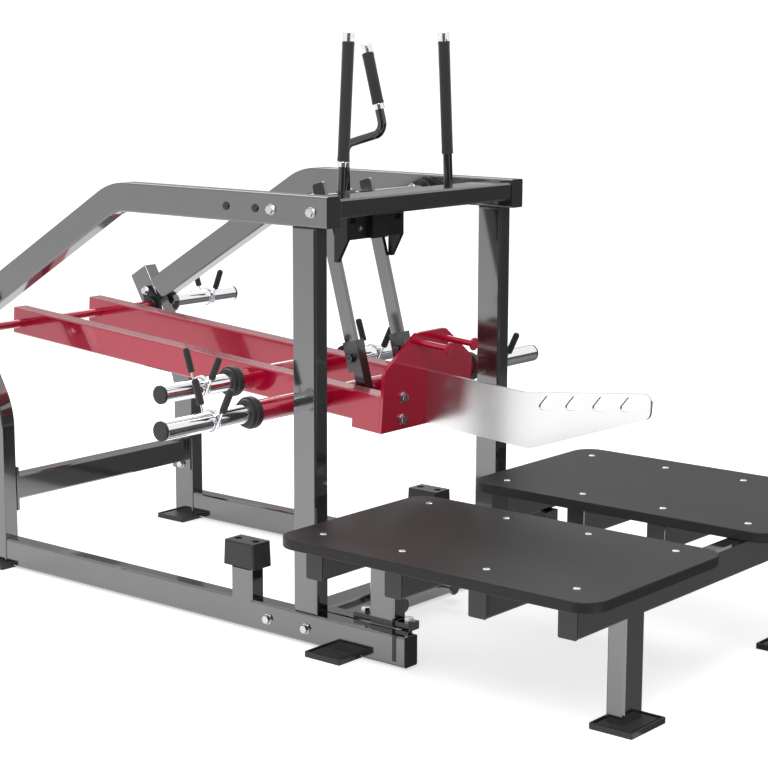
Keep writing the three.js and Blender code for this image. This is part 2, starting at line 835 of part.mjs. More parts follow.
// Rack stop: a housing in front of the struts, hung under the crossbar between two tapered plates
function rackStop() {
  const plateInner = strutX + strutThickness / 2 + stopEarGap;
  const releasedLean = strutLean + releaseSwing;
  const stopBarBottom = topBarZ[0] - stopBarDrop;
  const stopBarTop = stopBarBottom + stopBarHeight;
  const mountTop = topBarZ[0] - seatGap;
  const drop = rackHeight - stopBarBottom;
  const strutFront = (drop * Math.sin(releasedLean) + strutWidth / 2) / Math.cos(releasedLean);
  const barBack = rackY - strutFront - hookGap;
  const barFront = barBack - stopBarDepth;
  const ears = sides.map(([, side]) => {
    const shape = outline([
      [barFront, mountTop],
      [barBack, mountTop],
      [barBack, mountTop - stopEarDrop],
      [barBack - stopEarTipWidth, mountTop - stopEarDrop],
      [barFront, stopBarBottom],
    ]);
    return prism(shape, 'x', span(side, plateInner, plateInner + stopEarThickness));
  });
  const barX = [-plateInner - stopEarThickness / 2, plateInner + stopEarThickness / 2];
  const mountY = [topBarBack - stopPlateReach, barBack];
  const noseY = [barFront - stopNoseDepth, barFront + weldBite];
  return join([
    bar(barX, [barFront, barBack], [stopBarBottom, stopBarTop]),
    bar(around(0, stopHousingWidth), [barFront, barBack], [stopBarTop - weldBite, mountTop]),
    bar(around(0, stopNoseWidth), noseY, [stopBarBottom, stopBarBottom + stopNoseHeight]),
    bar(barX, mountY, [mountTop - stopPlateThickness, mountTop]),
    ...ears,
  ]);
}

// Lever beams bored for the pivot shaft and the horn tubes
const hornPlaces = [
  ['front', -frontHornReach, frontFlangeX, sleeveLength],
  ['rear', -rearHornReach, rearFlangeX, rearSleeveLength],
];

function leverBeam(side) {
  const x = span(side, leverHalfWidth - leverBeamWidth, leverHalfWidth);
  const beam = bar(x, [-leverReach, leverTail], around(0, leverBeamHeight), 'x', leverRound);
  const reach = leverHalfWidth + overrun;
  const bores = hornPlaces.map(([, y]) => {
    return rod(hornTubeRadius + seatGap, place(-reach, y, 0), place(reach, y, 0), hornTubeSides);
  });
  const shaftBore = rod(shaftRadius + seatGap, place(-reach, 0, 0), place(reach, 0, 0), shaftSides);
  return cut(beam, [...bores, shaftBore]);
}

function crossShaft() {
  return rod(shaftRadius, place(-shaftHalfLength, 0, 0), place(shaftHalfLength, 0, 0), shaftSides);
}

function hornTube(y, flangeX) {
  return rod(hornTubeRadius, place(seatGap - flangeX, y, 0), place(flangeX - seatGap, y, 0), hornTubeSides);
}

// The end box: two cheeks outside the beams, and the plate that closes their ends
const boxOuter = leverHalfWidth + seatGap + boxPlate;
const boxZ = [-leverBeamHeight / 2 - boxDrop, leverBeamHeight / 2];
const endPlateY = [-leverReach - seatGap - endPlate, -leverReach - seatGap];
const headPlateY = [endPlateY[0] - seatGap - headPlate, endPlateY[0] - seatGap];
const headFront = headPlateY[0];

function endBox() {
  const cheeks = sides.map(([, side]) => {
    return bar(span(side, leverHalfWidth + seatGap, boxOuter), [endPlateY[0], boxLength - leverReach], boxZ);
  });
  return join([bar([-boxOuter, boxOuter], endPlateY, boxZ), ...cheeks]);
}

function headPlateShape() {
  return roundedOutline([
    [-boxOuter, boxZ[0]],
    [boxOuter, boxZ[0]],
    [boxOuter, headShoulder, headCorner],
    [headTopHalfWidth, headTop, headCorner],
    [-headTopHalfWidth, headTop, headCorner],
    [-boxOuter, headShoulder, headCorner],
  ]);
}

// A slanted window, its corners rounded, at a distance along the blade's rising edge
function slotOutline(along, riseLength, origin, way) {
  const slotLength = riseLength * slotLengthShare;
  const slotSlant = riseLength * slotSlantShare;
  const normal = new THREE.Vector2(way.y, -way.x);
  const corners = [
    [along, slotBand + slotHeight],
    [along + slotLength, slotBand + slotHeight],
    [along + slotLength + slotSlant, slotBand],
    [along + slotSlant, slotBand],
  ];
  return roundedOutline(corners.map(([ahead, down]) => {
    const point = origin.clone().addScaledVector(way, ahead).addScaledVector(normal, down);
    return [point.x, point.y, slotCorner];
  }));
}

// The blade runs level from the head, then its edges rise and draw together toward the tip.
// It is drawn with distances in front of the head and then turned to face forward.
function beltBlade() {
  const rise = new THREE.Vector2(bladeReach - bladeFlat, bladeTipTop - bladeTop);
  const riseLength = rise.length();
  rise.normalize();
  const origin = new THREE.Vector2(bladeFlat, bladeTop);
  const shape = roundedOutline([
    [0, bladeBottom],
    [bladeHeel, bladeBottom, bladeBendRadius],
    [bladeReach, bladeTipBottom, bladeCorner],
    [bladeReach, bladeTipTop, bladeCorner],
    [bladeFlat, bladeTop, bladeBendRadius],
    [0, bladeTop],
  ]);
  const slots = Array.from({ length: slotCount }, (_, i) => {
    const along = riseLength * (slotStartShare + i * slotPitchShare);
    return prism(slotOutline(along, riseLength, origin, rise), 'x', around(0, bladeThickness + overrun));
  });
  const blade = prism(shape, 'x', around(0, bladeThickness));
  return [blade, ...slots].map((piece) => piece.rotateZ(Math.PI).translate(0, headFront - seatGap, 0));
}

// The head plate carries the lever's pegs and four bolts on its front
function headPlateWithPegs() {
  const parts = sides.flatMap(([, side]) => {
    const from = place(side * leverPegX, headFront + weldBite, leverPegZ);
    const to = place(side * leverPegX, headFront - leverPegLength, leverPegZ);
    const discAt = place(to.x, to.y + leverDiscThickness, leverPegZ);
    const end = disc(leverDiscRadius, leverDiscThickness, capRound, discAt, ahead, shaftSides);
    const bolts = [-1, 1].map((turnSign) => {
      return bolt(place(side * headBoltX, headFront, turnSign * headBoltZ), ahead);
    });
    return [rod(leverPegRadius, from, to, boltSides), end, ...bolts];
  });
  return join([prism(headPlateShape(), 'y', headPlateY), ...parts]);
}

// A plate horn: its sleeve, the flange round its root and the cap on its end
function horn(side, y, z, from, length) {
  const root = place(side * (from + seatGap), y, z);
  const end = from + flangeThickness + length;
  const capAt = place(side * (end - capLength - weldBite), y, z);
  return join([
    rod(sleeveRadius, root, place(side * (end - capLength), y, z), sleeveSides),
    disc(flangeRadius, flangeThickness - seatGap, flangeRound, root, outwardOf(side), sleeveSides),
    disc(sleeveRadius - weldBite, capLength + weldBite, capRound, capAt, outwardOf(side), sleeveSides),
  ]);
}

// A spring collar: a wound wire whose two straight tails carry grips.
// Its coil goes round the horn along X, and its tails leave it upward and spread.
const coilRadius = (sleeveRadius + collarGap + wireRadius) / Math.cos(Math.PI / curlSteps);
const curlStep = (2 * Math.PI) / curlSteps;

function collarPath() {
  const coil = [];
  const start = Math.PI + curlStep / 2;
  for (let i = 0; i <= coilSteps; i++) {
    const angle = start + i * curlStep;
    const x = ((i - coilSteps / 2) / curlSteps) * coilPitch;
    coil.push(place(x, coilRadius * Math.cos(angle), coilRadius * Math.sin(angle)));
  }
  const reach = tailLength + wireInGrip;
  const end = start + coilSteps * curlStep;
  const firstWay = place(0, Math.sin(start), -Math.cos(start));
  const lastWay = place(0, -Math.sin(end), Math.cos(end));
  const first = coil[0].clone().addScaledVector(firstWay, reach);
  const last = coil.at(-1).clone().addScaledVector(lastWay, reach);
  return { points: [first, ...coil, last], ways: [firstWay, lastWay], roots: [coil[0], coil.at(-1)] };
}

function collarGrip(root, way) {
  const at = root.clone().addScaledVector(way, tailLength);
  const profile = [
    [0, 0],
    [collarGripRadius - collarGripRound, 0],
    [collarGripRadius, collarGripRound],
    [collarGripRadius, collarGripLength - collarGripRound],
    [collarGripRadius - collarGripRound, collarGripLength],
    [0, collarGripLength],
  ];
  return revolve(profile, at, way, collarGripSides);
}

function collar(x, y, z) {
  const { points, ways, roots } = collarPath();
  const pieces = [sweep(points, wireRadius, wireSides), ...ways.map((way, i) => collarGrip(roots[i], way))];
  return pieces.map((piece) => piece.translate(x, y, z));
}

// The least gap of the wire to itself, between points half a curl or more apart
function leastWireGap() {
  const { points } = collarPath();
  const perStep = 4;
  const samples = points.slice(1).flatMap((point, i) => {
    return Array.from({ length: perStep }, (_, k) => points[i].clone().lerp(point, k / perStep));
  });
  let least = Infinity;
  for (let i = 0; i < samples.length; i++) {
    for (let j = i + (perStep * curlSteps) / 2; j < samples.length; j++) {
      least = Math.min(least, samples[i].distanceTo(samples[j]));
    }
  }
  return least - 2 * wireRadius;
}

// Rack: two struts on a shaft, a hook on each, and the handle that swings them clear.
// The hooks hold the middle of the front horn tube between the lever's beams.
function inRack(point) {
  const rotated = point.clone().sub(new THREE.Vector2(rackY, rackHeight));
  return rotated.rotateAround(new THREE.Vector2(), strutLean);
}

const held = (point) => point.clone().rotateAround(new THREE.Vector2(), -engageSwing);
const tubeRest = inRack(tubeAtRest);
const tubeRaised = inRack(tubeAtRest.clone().rotateAround(pivotPoint, -leverRise));
const cheekTop = tubeRest.length() - hornTubeRadius - cheekRise;
const hookBoltDrop = tubeRest.length() - hornTubeRadius - hookBoltRise;
const toeRadius = tubeRest.length() + hornTubeRadius + hookGap;
const throatRadius = tubeRaised.length() - hornTubeRadius - hookGap;
const throatFront = Math.min(held(tubeRest).x, held(tubeRaised).x) - hornTubeRadius - hookGap;
const tubeFront = tubeAtRest.x - hornTubeRadius - rackY;
const toeTip = toeRadius * Math.sin(strutLean + Math.asin((tubeFront - toeClearance) / toeRadius));
const cheekReach = strutThickness / 2 + seatGap + cheekThickness;
const cheekSpan = [strutX - cheekReach, strutX + cheekReach];

function strut(side) {
  const half = strutWidth / 2;
  const shape = new THREE.Shape();
  shape.moveTo(-half, -Math.sqrt(throatRadius ** 2 - half ** 2) + hookGap);
  shape.lineTo(half, -Math.sqrt(throatRadius ** 2 - half ** 2) + hookGap);
  shape.absarc(0, strutTop - half, half, 0, Math.PI);
  const x = around(side * strutX, strutThickness);
  const bores = [
    rod(shaftRadius + seatGap, place(x[0] - overrun, 0, 0), place(x[1] + overrun, 0, 0), shaftSides),
  ];
  return cut(prism(shape, 'x', x), bores);
}

// The hook's cheeks: a throat open to the rear between two arcs round the shaft, and a toe below it
function hookOutline() {
  const front = -strutWidth / 2 - seatGap - hookPlate;
  const along = (radius, y) => Math.asin(y / radius) - Math.PI / 2;
  const bottom = -toeRadius - toeDepth;
  const shape = new THREE.Shape();
  shape.moveTo(front, -cheekTop);
  shape.lineTo(front, bottom + toeDepth / 3);
  shape.lineTo(front + toeDepth / 3, bottom);
  shape.lineTo(toeTip - toeDepth / 3, bottom + toeDepth / 4);
  shape.lineTo(toeTip, bottom + toeDepth / 2);
  shape.absarc(0, 0, toeRadius, along(toeRadius, toeTip), along(toeRadius, throatFront), true);
  shape.absarc(0, 0, throatRadius, along(throatRadius, throatFront), along(throatRadius, cheekRear));
  shape.lineTo(cheekRear, -cheekTop);
  return shape;
}

function hook(side) {
  const inner = span(side, cheekSpan[0], cheekSpan[0] + cheekThickness);
  const outer = span(side, cheekSpan[1] - cheekThickness, cheekSpan[1]);
  const shape = hookOutline();
  const front = -strutWidth / 2 - seatGap;
  const plateZ = [-toeRadius - toeDepth / 2, -cheekTop];
  const plate = bar(span(side, ...cheekSpan), [front - hookPlate, front], plateZ);
  const boltAt = place(side * cheekSpan[1], 0, -hookBoltDrop);
  const nutAt = place(side * (cheekSpan[0] + weldBite), 0, -hookBoltDrop);
  const nut = disc(hookNutRadius, hookNutHeight, capRound, nutAt, inwardOf(side), hookNutSides);
  const cheeks = [inner, outer].map((x) => prism(shape, 'x', x));
  return join([...cheeks, plate, bolt(boltAt, outwardOf(side)), nut]);
}

// Release handle: a hub on the shaft, a cranked stem and a grip parallel to the struts
function releaseHandle() {
  const hubAt = place(-hubLength / 2, 0, 0);
  const hub = ring(shaftRadius + seatGap, hubRadius, hubLength, capRound, hubAt, xAxis, gripSides);
  const shoulder = place(0, -releaseStemLean, releaseShoulder);
  const start = shoulder.clone().setLength((shaftRadius + hubRadius) / 2);
  const path = bentPath([
    start,
    shoulder,
    place(0, -releaseForward, releaseShoulder),
    place(0, -releaseForward, releaseTop - capRound),
  ], releaseBend, bendSteps);
  const collarAt = place(0, -releaseForward, releaseCollarBottom);
  const tipAt = place(0, -releaseForward, releaseGripTop + seatGap);
  const collarLength = releaseCollarLength - seatGap;
  const collar = disc(releaseCollarRadius, collarLength, capRound, collarAt, zAxis, gripSides);
  const tip = disc(tipRadius, releaseTop - releaseGripTop, capRound, tipAt, zAxis, gripSides);
  return join([hub, sweep(path, releaseRadius, releaseSides), collar, tip]);
}

const releaseGripBottom = releaseCollarBottom + releaseCollarLength;
const releaseGripTop = releaseGripBottom + releaseGripLength;

function releaseSleeve(from, to, radius) {
  const at = place(0, -releaseForward, from);
  return ring(releaseRadius + seatGap, radius, to - from, capRound, at, zAxis, gripSides);
}

for (const [word, side] of sides) {
  add(machine, `base_beam_${word}`, framePaint, [baseBeam(side)]);
  add(machine, `front_upright_${word}`, framePaint, [frontUpright(side)]);
  add(machine, `rear_upright_${word}`, framePaint, [rearUpright(side)]);
  add(machine, `top_beam_${word}`, framePaint, [topBeam(side)]);
  add(machine, `platform_post_${word}`, framePaint, [platformPost(side)]);
  add(machine, `board_${word}`, boardTop, [board(side)]);
  for (const [where, pad] of Object.entries(feet(side))) {
    add(machine, `${where}_foot_${word}`, rubber, [pad]);
  }
  add(machine, `bump_block_${word}`, rubber, [bumpBlock(side)]);
  add(machine, `hold_handle_${word}`, framePaint, [holdHandle(side)]);
  add(machine, `hold_grip_${word}`, foam, [holdSleeve(side, holdGripBottom, holdGripTop, gripRadius)]);
  add(machine, `rack_bearing_${word}`, darkSteel, [bearing(side, rackY, rackHeight, 0)]);
  add(machine, `lever_bearing_${word}`, darkSteel, [bearing(side, pivotY, pivotHeight, leanTurn)]);
  const storageHorn = horn(side, pivotY, pivotHeight, outerX, storageSleeveLength);
  add(machine, `storage_horn_${word}`, chrome, [storageHorn]);
  add(machine, `storage_collar_${word}`, chrome, collar(side * storageCollarX, pivotY, pivotHeight));
}
add(machine, 'top_crossbar', framePaint, [topCrossbar()]);
add(machine, 'rear_crossbeam', framePaint, [rearCrossbeam()]);
add(machine, 'base_crossbeam', framePaint, [baseCrossbeam()]);
add(machine, 'platform_frame', framePaint, [platformFrame()]);
add(machine, 'rack_stop', darkSteel, [rackStop()]);

for (const [word, side] of sides) {
  add(lever, `lever_beam_${word}`, redPaint, [leverBeam(side)]);
  for (const [where, y, from, length] of hornPlaces) {
    add(lever, `${where}_horn_${word}`, chrome, [horn(side, y, 0, from, length)]);
  }
  add(lever, `front_collar_${word}`, chrome, collar(side * frontCollarX, -frontHornReach, 0));
  add(lever, `rear_collar_${word}`, chrome, collar(side * rearCollarX, -rearHornReach, 0));
}
for (const [where, y, from] of hornPlaces) {
  add(lever, `${where}_horn_tube`, redPaint, [hornTube(y, from)]);
}
const [blade, ...slots] = beltBlade();
add(lever, 'pivot_shaft', redPaint, [crossShaft()]);
add(lever, 'end_box', redPaint, [endBox()]);
add(lever, 'head_plate', redPaint, [headPlateWithPegs()]);
add(lever, 'belt_blade', brushedSteel, [cut(blade, slots)]);

for (const [word, side] of sides) {
  add(rack, `strut_${word}`, galvanised, [strut(side)]);
  add(rack, `hook_${word}`, galvanised, [hook(side)]);
}
add(rack, 'rack_shaft', galvanised, [crossShaft()]);
add(rack, 'release_handle', galvanised, [releaseHandle()]);
add(rack, 'release_grip', foam, [releaseSleeve(releaseGripBottom, releaseGripTop, gripRadius)]);

console.log(`Least gap of the collar wire to itself: ${leastWireGap().toFixed(2)} mm`);

export default machine;
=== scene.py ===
# %% [markdown]
# A plate-loaded belt squat machine.
# Its tubes, hooks and lever arrive as finished solids that already move on their joints.
# This lesson dresses them: paint, chrome, rubber and foam, and the round parts in full detail.

# %% Load the solids and keep their size
import json
import math

import bmesh
import bpy
from mathutils import Matrix, Vector


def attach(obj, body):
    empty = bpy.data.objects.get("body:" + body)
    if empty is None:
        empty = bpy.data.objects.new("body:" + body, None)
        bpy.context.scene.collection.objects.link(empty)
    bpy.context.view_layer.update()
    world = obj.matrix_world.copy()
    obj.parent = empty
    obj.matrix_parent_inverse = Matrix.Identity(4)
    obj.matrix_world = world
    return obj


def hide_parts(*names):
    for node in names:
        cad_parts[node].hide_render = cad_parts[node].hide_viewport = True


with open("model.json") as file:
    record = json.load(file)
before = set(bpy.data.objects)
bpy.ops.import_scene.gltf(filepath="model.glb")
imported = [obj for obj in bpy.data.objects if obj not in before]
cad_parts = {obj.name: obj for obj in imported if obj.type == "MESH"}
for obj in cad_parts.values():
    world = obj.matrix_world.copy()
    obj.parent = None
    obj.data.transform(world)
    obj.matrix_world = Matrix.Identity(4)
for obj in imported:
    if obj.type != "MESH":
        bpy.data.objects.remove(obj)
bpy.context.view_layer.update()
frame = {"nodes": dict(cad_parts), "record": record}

nodes = frame["nodes"]
sides = (("left", -1), ("right", 1))
print("Solids loaded:", len(nodes))

# %% [markdown]
# The camera comes first, because every later choice is judged through it.
# Its place and lens were worked out from the straight edges of the photographed frame.
# Its turn could be three Euler angles, but their order is easy to get wrong. Three axes set
# straight into its matrix hold the slight roll without any doubt.

# %% Camera at the photograph's angle
CAMERA_PLACE = Vector((-4.05686, -3.45589, 1.56040))
CAMERA_YAW, CAMERA_PITCH, CAMERA_ROLL = (math.radians(a) for a in (50.581, 10.18, 0.162))
CAMERA_LENS, CAMERA_SENSOR, CAMERA_SIGHT = 92.84, 36, 200


def linked(name, data):
    """A new object for some data, linked into the scene."""
    made = bpy.data.objects.new(name, data)
    bpy.context.scene.collection.objects.link(made)
    return made


across = Vector((math.cos(CAMERA_YAW), -math.sin(CAMERA_YAW), 0))
level = Vector((math.sin(CAMERA_YAW), math.cos(CAMERA_YAW), 0))
ahead = level * math.cos(CAMERA_PITCH) - Vector((0, 0, math.sin(CAMERA_PITCH)))
upward = across.cross(ahead)
right_way = across * math.cos(CAMERA_ROLL) + upward * math.sin(CAMERA_ROLL)
up_way = upward * math.cos(CAMERA_ROLL) - across * math.sin(CAMERA_ROLL)

lens = bpy.data.cameras.new("photo_camera")
lens.lens = CAMERA_LENS
lens.sensor_width = CAMERA_SENSOR
lens.clip_end = CAMERA_SIGHT
camera = linked("photo_camera", lens)
turn = Matrix((right_way, up_way, -ahead)).transposed().to_4x4()
camera.matrix_world = Matrix.Translation(CAMERA_PLACE) @ turn
bpy.context.scene.camera = camera
bpy.context.scene.view_settings.view_transform = "Standard"
print("Camera height:", round(CAMERA_PLACE.z, 3), "m")

# %% [markdown]
# Real paint, foam and steel are never quite even. A painted image could show that, but it
# would need unwrapped surfaces, so every finish is one Principled shader fed by two noises
# on Object coordinates. A broad noise varies colour and roughness a little, as handling
# and dust do. A fine noise raises the grain: orange peel on paint, pores on foam, bead
# blast on steel. One helper builds them all, so the finishes differ only in their numbers.

# %% A helper for procedural finishes
COAT_ROUGHNESS, LEAST_ROUGHNESS = 0.04, 0.02
BROAD_DETAIL, FINE_DETAIL = 3.0, 4.0


def principled(name, settings):
    """A new material with its node tree and shader, whose named sockets are set."""
    material = bpy.data.materials.new(name)
    material.use_nodes = True
    shader = material.node_tree.nodes["Principled BSDF"]
    for socket, value in settings.items():
        shader.inputs[socket].default_value = value
    return material, material.node_tree, shader


def finish(name, colour, roughness, metallic=0.0, coat=0.0, mottle=0.08, mottle_scale=7.0,
           grain_scale=400.0, grain_height=0.00005, rough_swing=0.05, sheen=0.0, shine=0.5):
    material, tree, shader = principled(name, {
        "Metallic": metallic, "Coat Weight": coat, "Coat Roughness": COAT_ROUGHNESS,
        "Sheen Weight": sheen, "Specular IOR Level": shine,
    })
    place = tree.nodes.new("ShaderNodeTexCoord")
    broad, fine = (tree.nodes.new("ShaderNodeTexNoise") for _ in range(2))
    for noise, scale, detail in ((broad, mottle_scale, BROAD_DETAIL),
                                 (fine, grain_scale, FINE_DETAIL)):
        noise.inputs["Scale"].default_value = scale
        noise.inputs["Detail"].default_value = detail
        tree.links.new(place.outputs["Object"], noise.inputs["Vector"])
    shade = tree.nodes.new("ShaderNodeMix")
    shade.data_type = "RGBA"
    shade.inputs["A"].default_value = (*[c * (1 - mottle) for c in colour], 1)
    shade.inputs["B"].default_value = (*[c * (1 + mottle) for c in colour], 1)
    tree.links.new(broad.outputs["Fac"], shade.inputs["Factor"])
    tree.links.new(shade.outputs["Result"], shader.inputs["Base Color"])
    gloss = tree.nodes.new("ShaderNodeMapRange")
    gloss.inputs["To Min"].default_value = max(roughness - rough_swing, LEAST_ROUGHNESS)
    gloss.inputs["To Max"].default_value = roughness + rough_swing
    tree.links.new(broad.outputs["Fac"], gloss.inputs["Value"])
    tree.links.new(gloss.outputs["Result"], shader.inputs["Roughness"])
    bump = tree.nodes.new("ShaderNodeBump")
    bump.inputs["Strength"].default_value = 1.0
    bump.inputs["Distance"].default_value = grain_height
    tree.links.new(fine.outputs["Fac"], bump.inputs["Height"])
    tree.links.new(bump.outputs["Normal"], shader.inputs["Normal"])
    return material


print("Helpers ready: principled, finish")

# %% [markdown]
# The frame is gunmetal paint, nearly as metallic as bare steel, under a thin clear coat. The
# handles and hooks wear a darker one. The lever is deep red under a thick coat. The horns
# are polished chrome and the bolts zinc plated. The belt blade is bead-blasted stainless
# steel, and the boards are a matt laminate with a fine tooth.

# %% The finishes of this machine
PAINT_GRAIN = {"grain_scale": 260, "grain_height": 0.000012}

gunmetal = finish("gunmetal paint", (0.178, 0.178, 0.18), 0.085, metallic=0.92, coat=0.3,
                  mottle=0.04, rough_swing=0.02, **PAINT_GRAIN)
deep_red = finish("deep red paint", (0.43, 0.003, 0.032), 0.16, metallic=0.22, coat=0.9,
                  mottle=0.05, rough_swing=0.03, **PAINT_GRAIN)
handle_paint = finish("dark handle paint", (0.075, 0.075, 0.077), 0.12, metallic=0.9,
                      coat=0.2, mottle=0.04, rough_swing=0.02, **PAINT_GRAIN)
zinc = finish("zinc plated bolts", (0.56, 0.565, 0.58), 0.16, metallic=1.0, mottle=0.03,
              grain_scale=700, grain_height=0.000003, rough_swing=0.03)
chrome = finish("polished chrome", (0.86, 0.87, 0.89), 0.06, metallic=1.0, mottle=0.02,
                grain_scale=900, grain_height=0.000002, rough_swing=0.02)
blasted_steel = finish("blasted blade steel", (0.75, 0.75, 0.755), 0.25, metallic=1.0,
                       mottle=0.02, mottle_scale=11, grain_scale=900, grain_height=0.00001,
                       rough_swing=0.02)
cast_iron = finish("black cast iron", (0.018, 0.018, 0.02), 0.42, metallic=0.4,
                   mottle=0.2, grain_scale=520, grain_height=0.00012)
laminate = finish("board laminate", (0.02, 0.0185, 0.018), 0.42, mottle=0.12,
                  mottle_scale=3, grain_scale=620, grain_height=0.00008, shine=0.2)
rubber = finish("foot rubber", (0.011, 0.011, 0.012), 0.5, mottle=0.2, mottle_scale=16,
                grain_scale=480, grain_height=0.00012, rough_swing=0.08, sheen=0.05)
foam = finish("grip foam", (0.013, 0.013, 0.014), 0.82, mottle=0.25, mottle_scale=40,
              grain_scale=1300, grain_height=0.00035, rough_swing=0.08, sheen=0.25)
plastic = finish("black plastic", (0.012, 0.012, 0.013), 0.3, mottle=0.1,
                 grain_scale=600, grain_height=0.00004)
finishes = (gunmetal, deep_red, handle_paint, zinc, chrome, blasted_steel, cast_iron,
            laminate, rubber, foam, plastic)
print("Finishes:", ", ".join(made.name for made in finishes))

# %% [markdown]
# The solids come with named material slots, one for each kind of surface on the machine.
# Painting them one by one would be long, so a table gives each slot its finish and a loop
# hands it out. The hooks share the struts' slot, but the photograph shows them darker.

# %% Paint the solids
slot_finish = {
    "frame_paint": gunmetal, "red_paint": deep_red, "chrome": chrome,
    "brushed_steel": blasted_steel, "galvanised": gunmetal, "dark_steel": cast_iron,
    "board": laminate, "rubber": rubber, "foam": foam,
}
for subpart in frame["record"]["subparts"]:
    for socket in nodes[subpart["node"]].material_slots:
        socket.material = slot_finish[subpart["material_slot"]]
for word, _ in sides:
    nodes[f"hook_{word}"].material_slots[0].material = handle_paint
print("Slots painted:", len(slot_finish))

# %% [markdown]
# Welded steel has no razor edges: a tube's corner is rolled, and a plate's edge is eased.
# The edges could be cut into the meshes, but each solid has to stay as it came, so it gets
# a weld, a planar clean-up and a bevel as live modifiers. The bevel takes only edges
# sharper than the facets of round parts.

# %% Ease the edges of the solids that stay
TUBE_EDGE, PLATE_EDGE, CAPPED_EDGE = 0.0005, 0.0006, 0.0002
WELD_REACH, FLAT_WITHIN, BEVEL_ABOVE, BEVEL_STEPS = 0.00002, 1.0, 42, 3


def keep_flat(made):
    """Weighted normals, so that flat faces beside a fine bevel stay flat in the light."""
    normal = made.modifiers.new("flat faces", "WEIGHTED_NORMAL")
    normal.keep_sharp = True


def ease(node, width):
    solid = nodes[node]
    solid.data.shade_smooth()
    weld = solid.modifiers.new("weld", "WELD")
    weld.merge_threshold = WELD_REACH
    plain = solid.modifiers.new("plain", "DECIMATE")
    plain.decimate_type = "DISSOLVE"
    plain.angle_limit = math.radians(FLAT_WITHIN)
    bevel = solid.modifiers.new("eased edges", "BEVEL")
    bevel.width = width
    bevel.segments = BEVEL_STEPS
    bevel.limit_method = "ANGLE"
    bevel.angle_limit = math.radians(BEVEL_ABOVE)
    keep_flat(solid)


for word, _ in sides:
    for tube in ("base_beam", "front_upright", "platform_post", "lever_beam", "bump_block"):
        ease(f"{tube}_{word}", TUBE_EDGE)
    for plate in ("hook", "rack_bearing", "lever_bearing"):
        ease(f"{plate}_{word}", PLATE_EDGE)
for tube in ("top_crossbar", "rear_crossbeam", "base_crossbeam"):
    ease(tube, TUBE_EDGE)
for plate in ("rack_stop", "end_box", "head_plate", "belt_blade"):
    ease(plate, PLATE_EDGE)
ease("platform_frame", CAPPED_EDGE)
print("Solids eased:", sum(1 for solid in nodes.values() if solid.modifiers))

# %% [markdown]
# The machine was measured from its own front, and MIDDLE is how far that lies from the
# middle of the part. The lever and the rack stand tilted at rest, so their new pieces are
# written square, on their own axis, and a matrix puts them in place.

# %% Places shared by the new pieces
MIDDLE = 0.23728
PIVOT = Vector((0, 1.372 - MIDDLE, 0.684))
RACK_SHAFT = Vector((0, 0.2505 - MIDDLE, 1.1138))
LEVER_PITCH, RACK_LEAN = math.radians(4.04), math.radians(-15.5)
ON_FRAME = Matrix.Identity(4)
ON_LEVER = Matrix.Translation(PIVOT) @ Matrix.Rotation(LEVER_PITCH, 4, "X")
ON_RACK = Matrix.Translation(RACK_SHAFT) @ Matrix.Rotation(RACK_LEAN, 4, "X")
print("Lever axis height:", PIVOT.z, "rack axis height:", RACK_SHAFT.z)

# %% [markdown]
# A new piece starts as a bmesh and ends as a named object. Its last steps are always the
# same, so one helper takes them: normals out, smooth shading with the real edges kept
# sharp, finishes, the body it rides on, and the plain solids it stands in for. It counts
# open edges too, because a closed mesh is the first thing that a sound piece needs.

# %% Helpers for named pieces
SHARPEST = 38


def make(name, bm, body, materials, replaced=(), sharpest=SHARPEST):
    """Turns a bmesh into a smooth shaded piece that rides on a body."""
    open_edges = sum(1 for edge in bm.edges if len(edge.link_faces) != 2)
    bmesh.ops.recalc_face_normals(bm, faces=bm.faces)
    mesh = bpy.data.meshes.new(name)
    bm.to_mesh(mesh)
    bm.free()
    mesh.shade_smooth()
    mesh.set_sharp_from_angle(angle=math.radians(sharpest))
    for material in materials:
        mesh.materials.append(material)
    made = linked(name, mesh)
    keep_flat(made)
    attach(made, body)
    if replaced:
        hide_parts(*replaced)
    print(name, "faces:", len(mesh.polygons), "open edges:", open_edges)


def place_on(bm, where):
    bmesh.ops.transform(bm, matrix=where, verts=bm.verts)


print("Helpers ready: make, place_on. Sharp edges start at", SHARPEST, "degrees")

# %% [markdown]
# Horns, shafts, bolts and grips are turned parts. They could be stacks of cylinders, but a
# lathe suits them better: one profile of radius and distance, spun round an axis, gives
# every step, chamfer and groove at once, and closes by itself.

# %% Helpers for turned pieces
TURNED_MERGE, TURNED_STEPS, RIM_ARC_STEPS = 1e-7, 48, 4
QUARTER = math.radians(90)
UP = Vector((0, 0, 1))


def unique(things):
    """The things without repeats, in the order in which they come."""
    return list(dict.fromkeys(things))


def turned_to(at, way):
    """The matrix that carries the Z axis from the origin to a way through a place."""
    return Matrix.Translation(at) @ UP.rotation_difference(way).to_matrix().to_4x4()


def spun(bm, profile, at, way, steps=TURNED_STEPS, finish_index=0):
    """Spins (radius, distance) pairs round a way, the distances measured from a place."""
    old = set(bm.faces)
    points = [bm.verts.new((radius, 0, along)) for radius, along in profile]
    edges = [bm.edges.new(pair) for pair in zip(points, points[1:])]
    bmesh.ops.spin(bm, geom=points + edges, cent=(0, 0, 0), axis=UP, dvec=(0, 0, 0),
                   angle=math.tau, steps=steps, use_merge=True, use_normal_flip=False,
                   use_duplicate=False)
    corners = unique(v for face in bm.faces if face not in old for v in face.verts)
    bmesh.ops.remove_doubles(bm, verts=corners, dist=TURNED_MERGE)
    new_faces = [face for face in bm.faces if face not in old]
    corners = unique(v for face in new_faces for v in face.verts)
    bmesh.ops.transform(bm, matrix=turned_to(at, way), verts=corners)
    for face in new_faces:
        face.material_index = finish_index


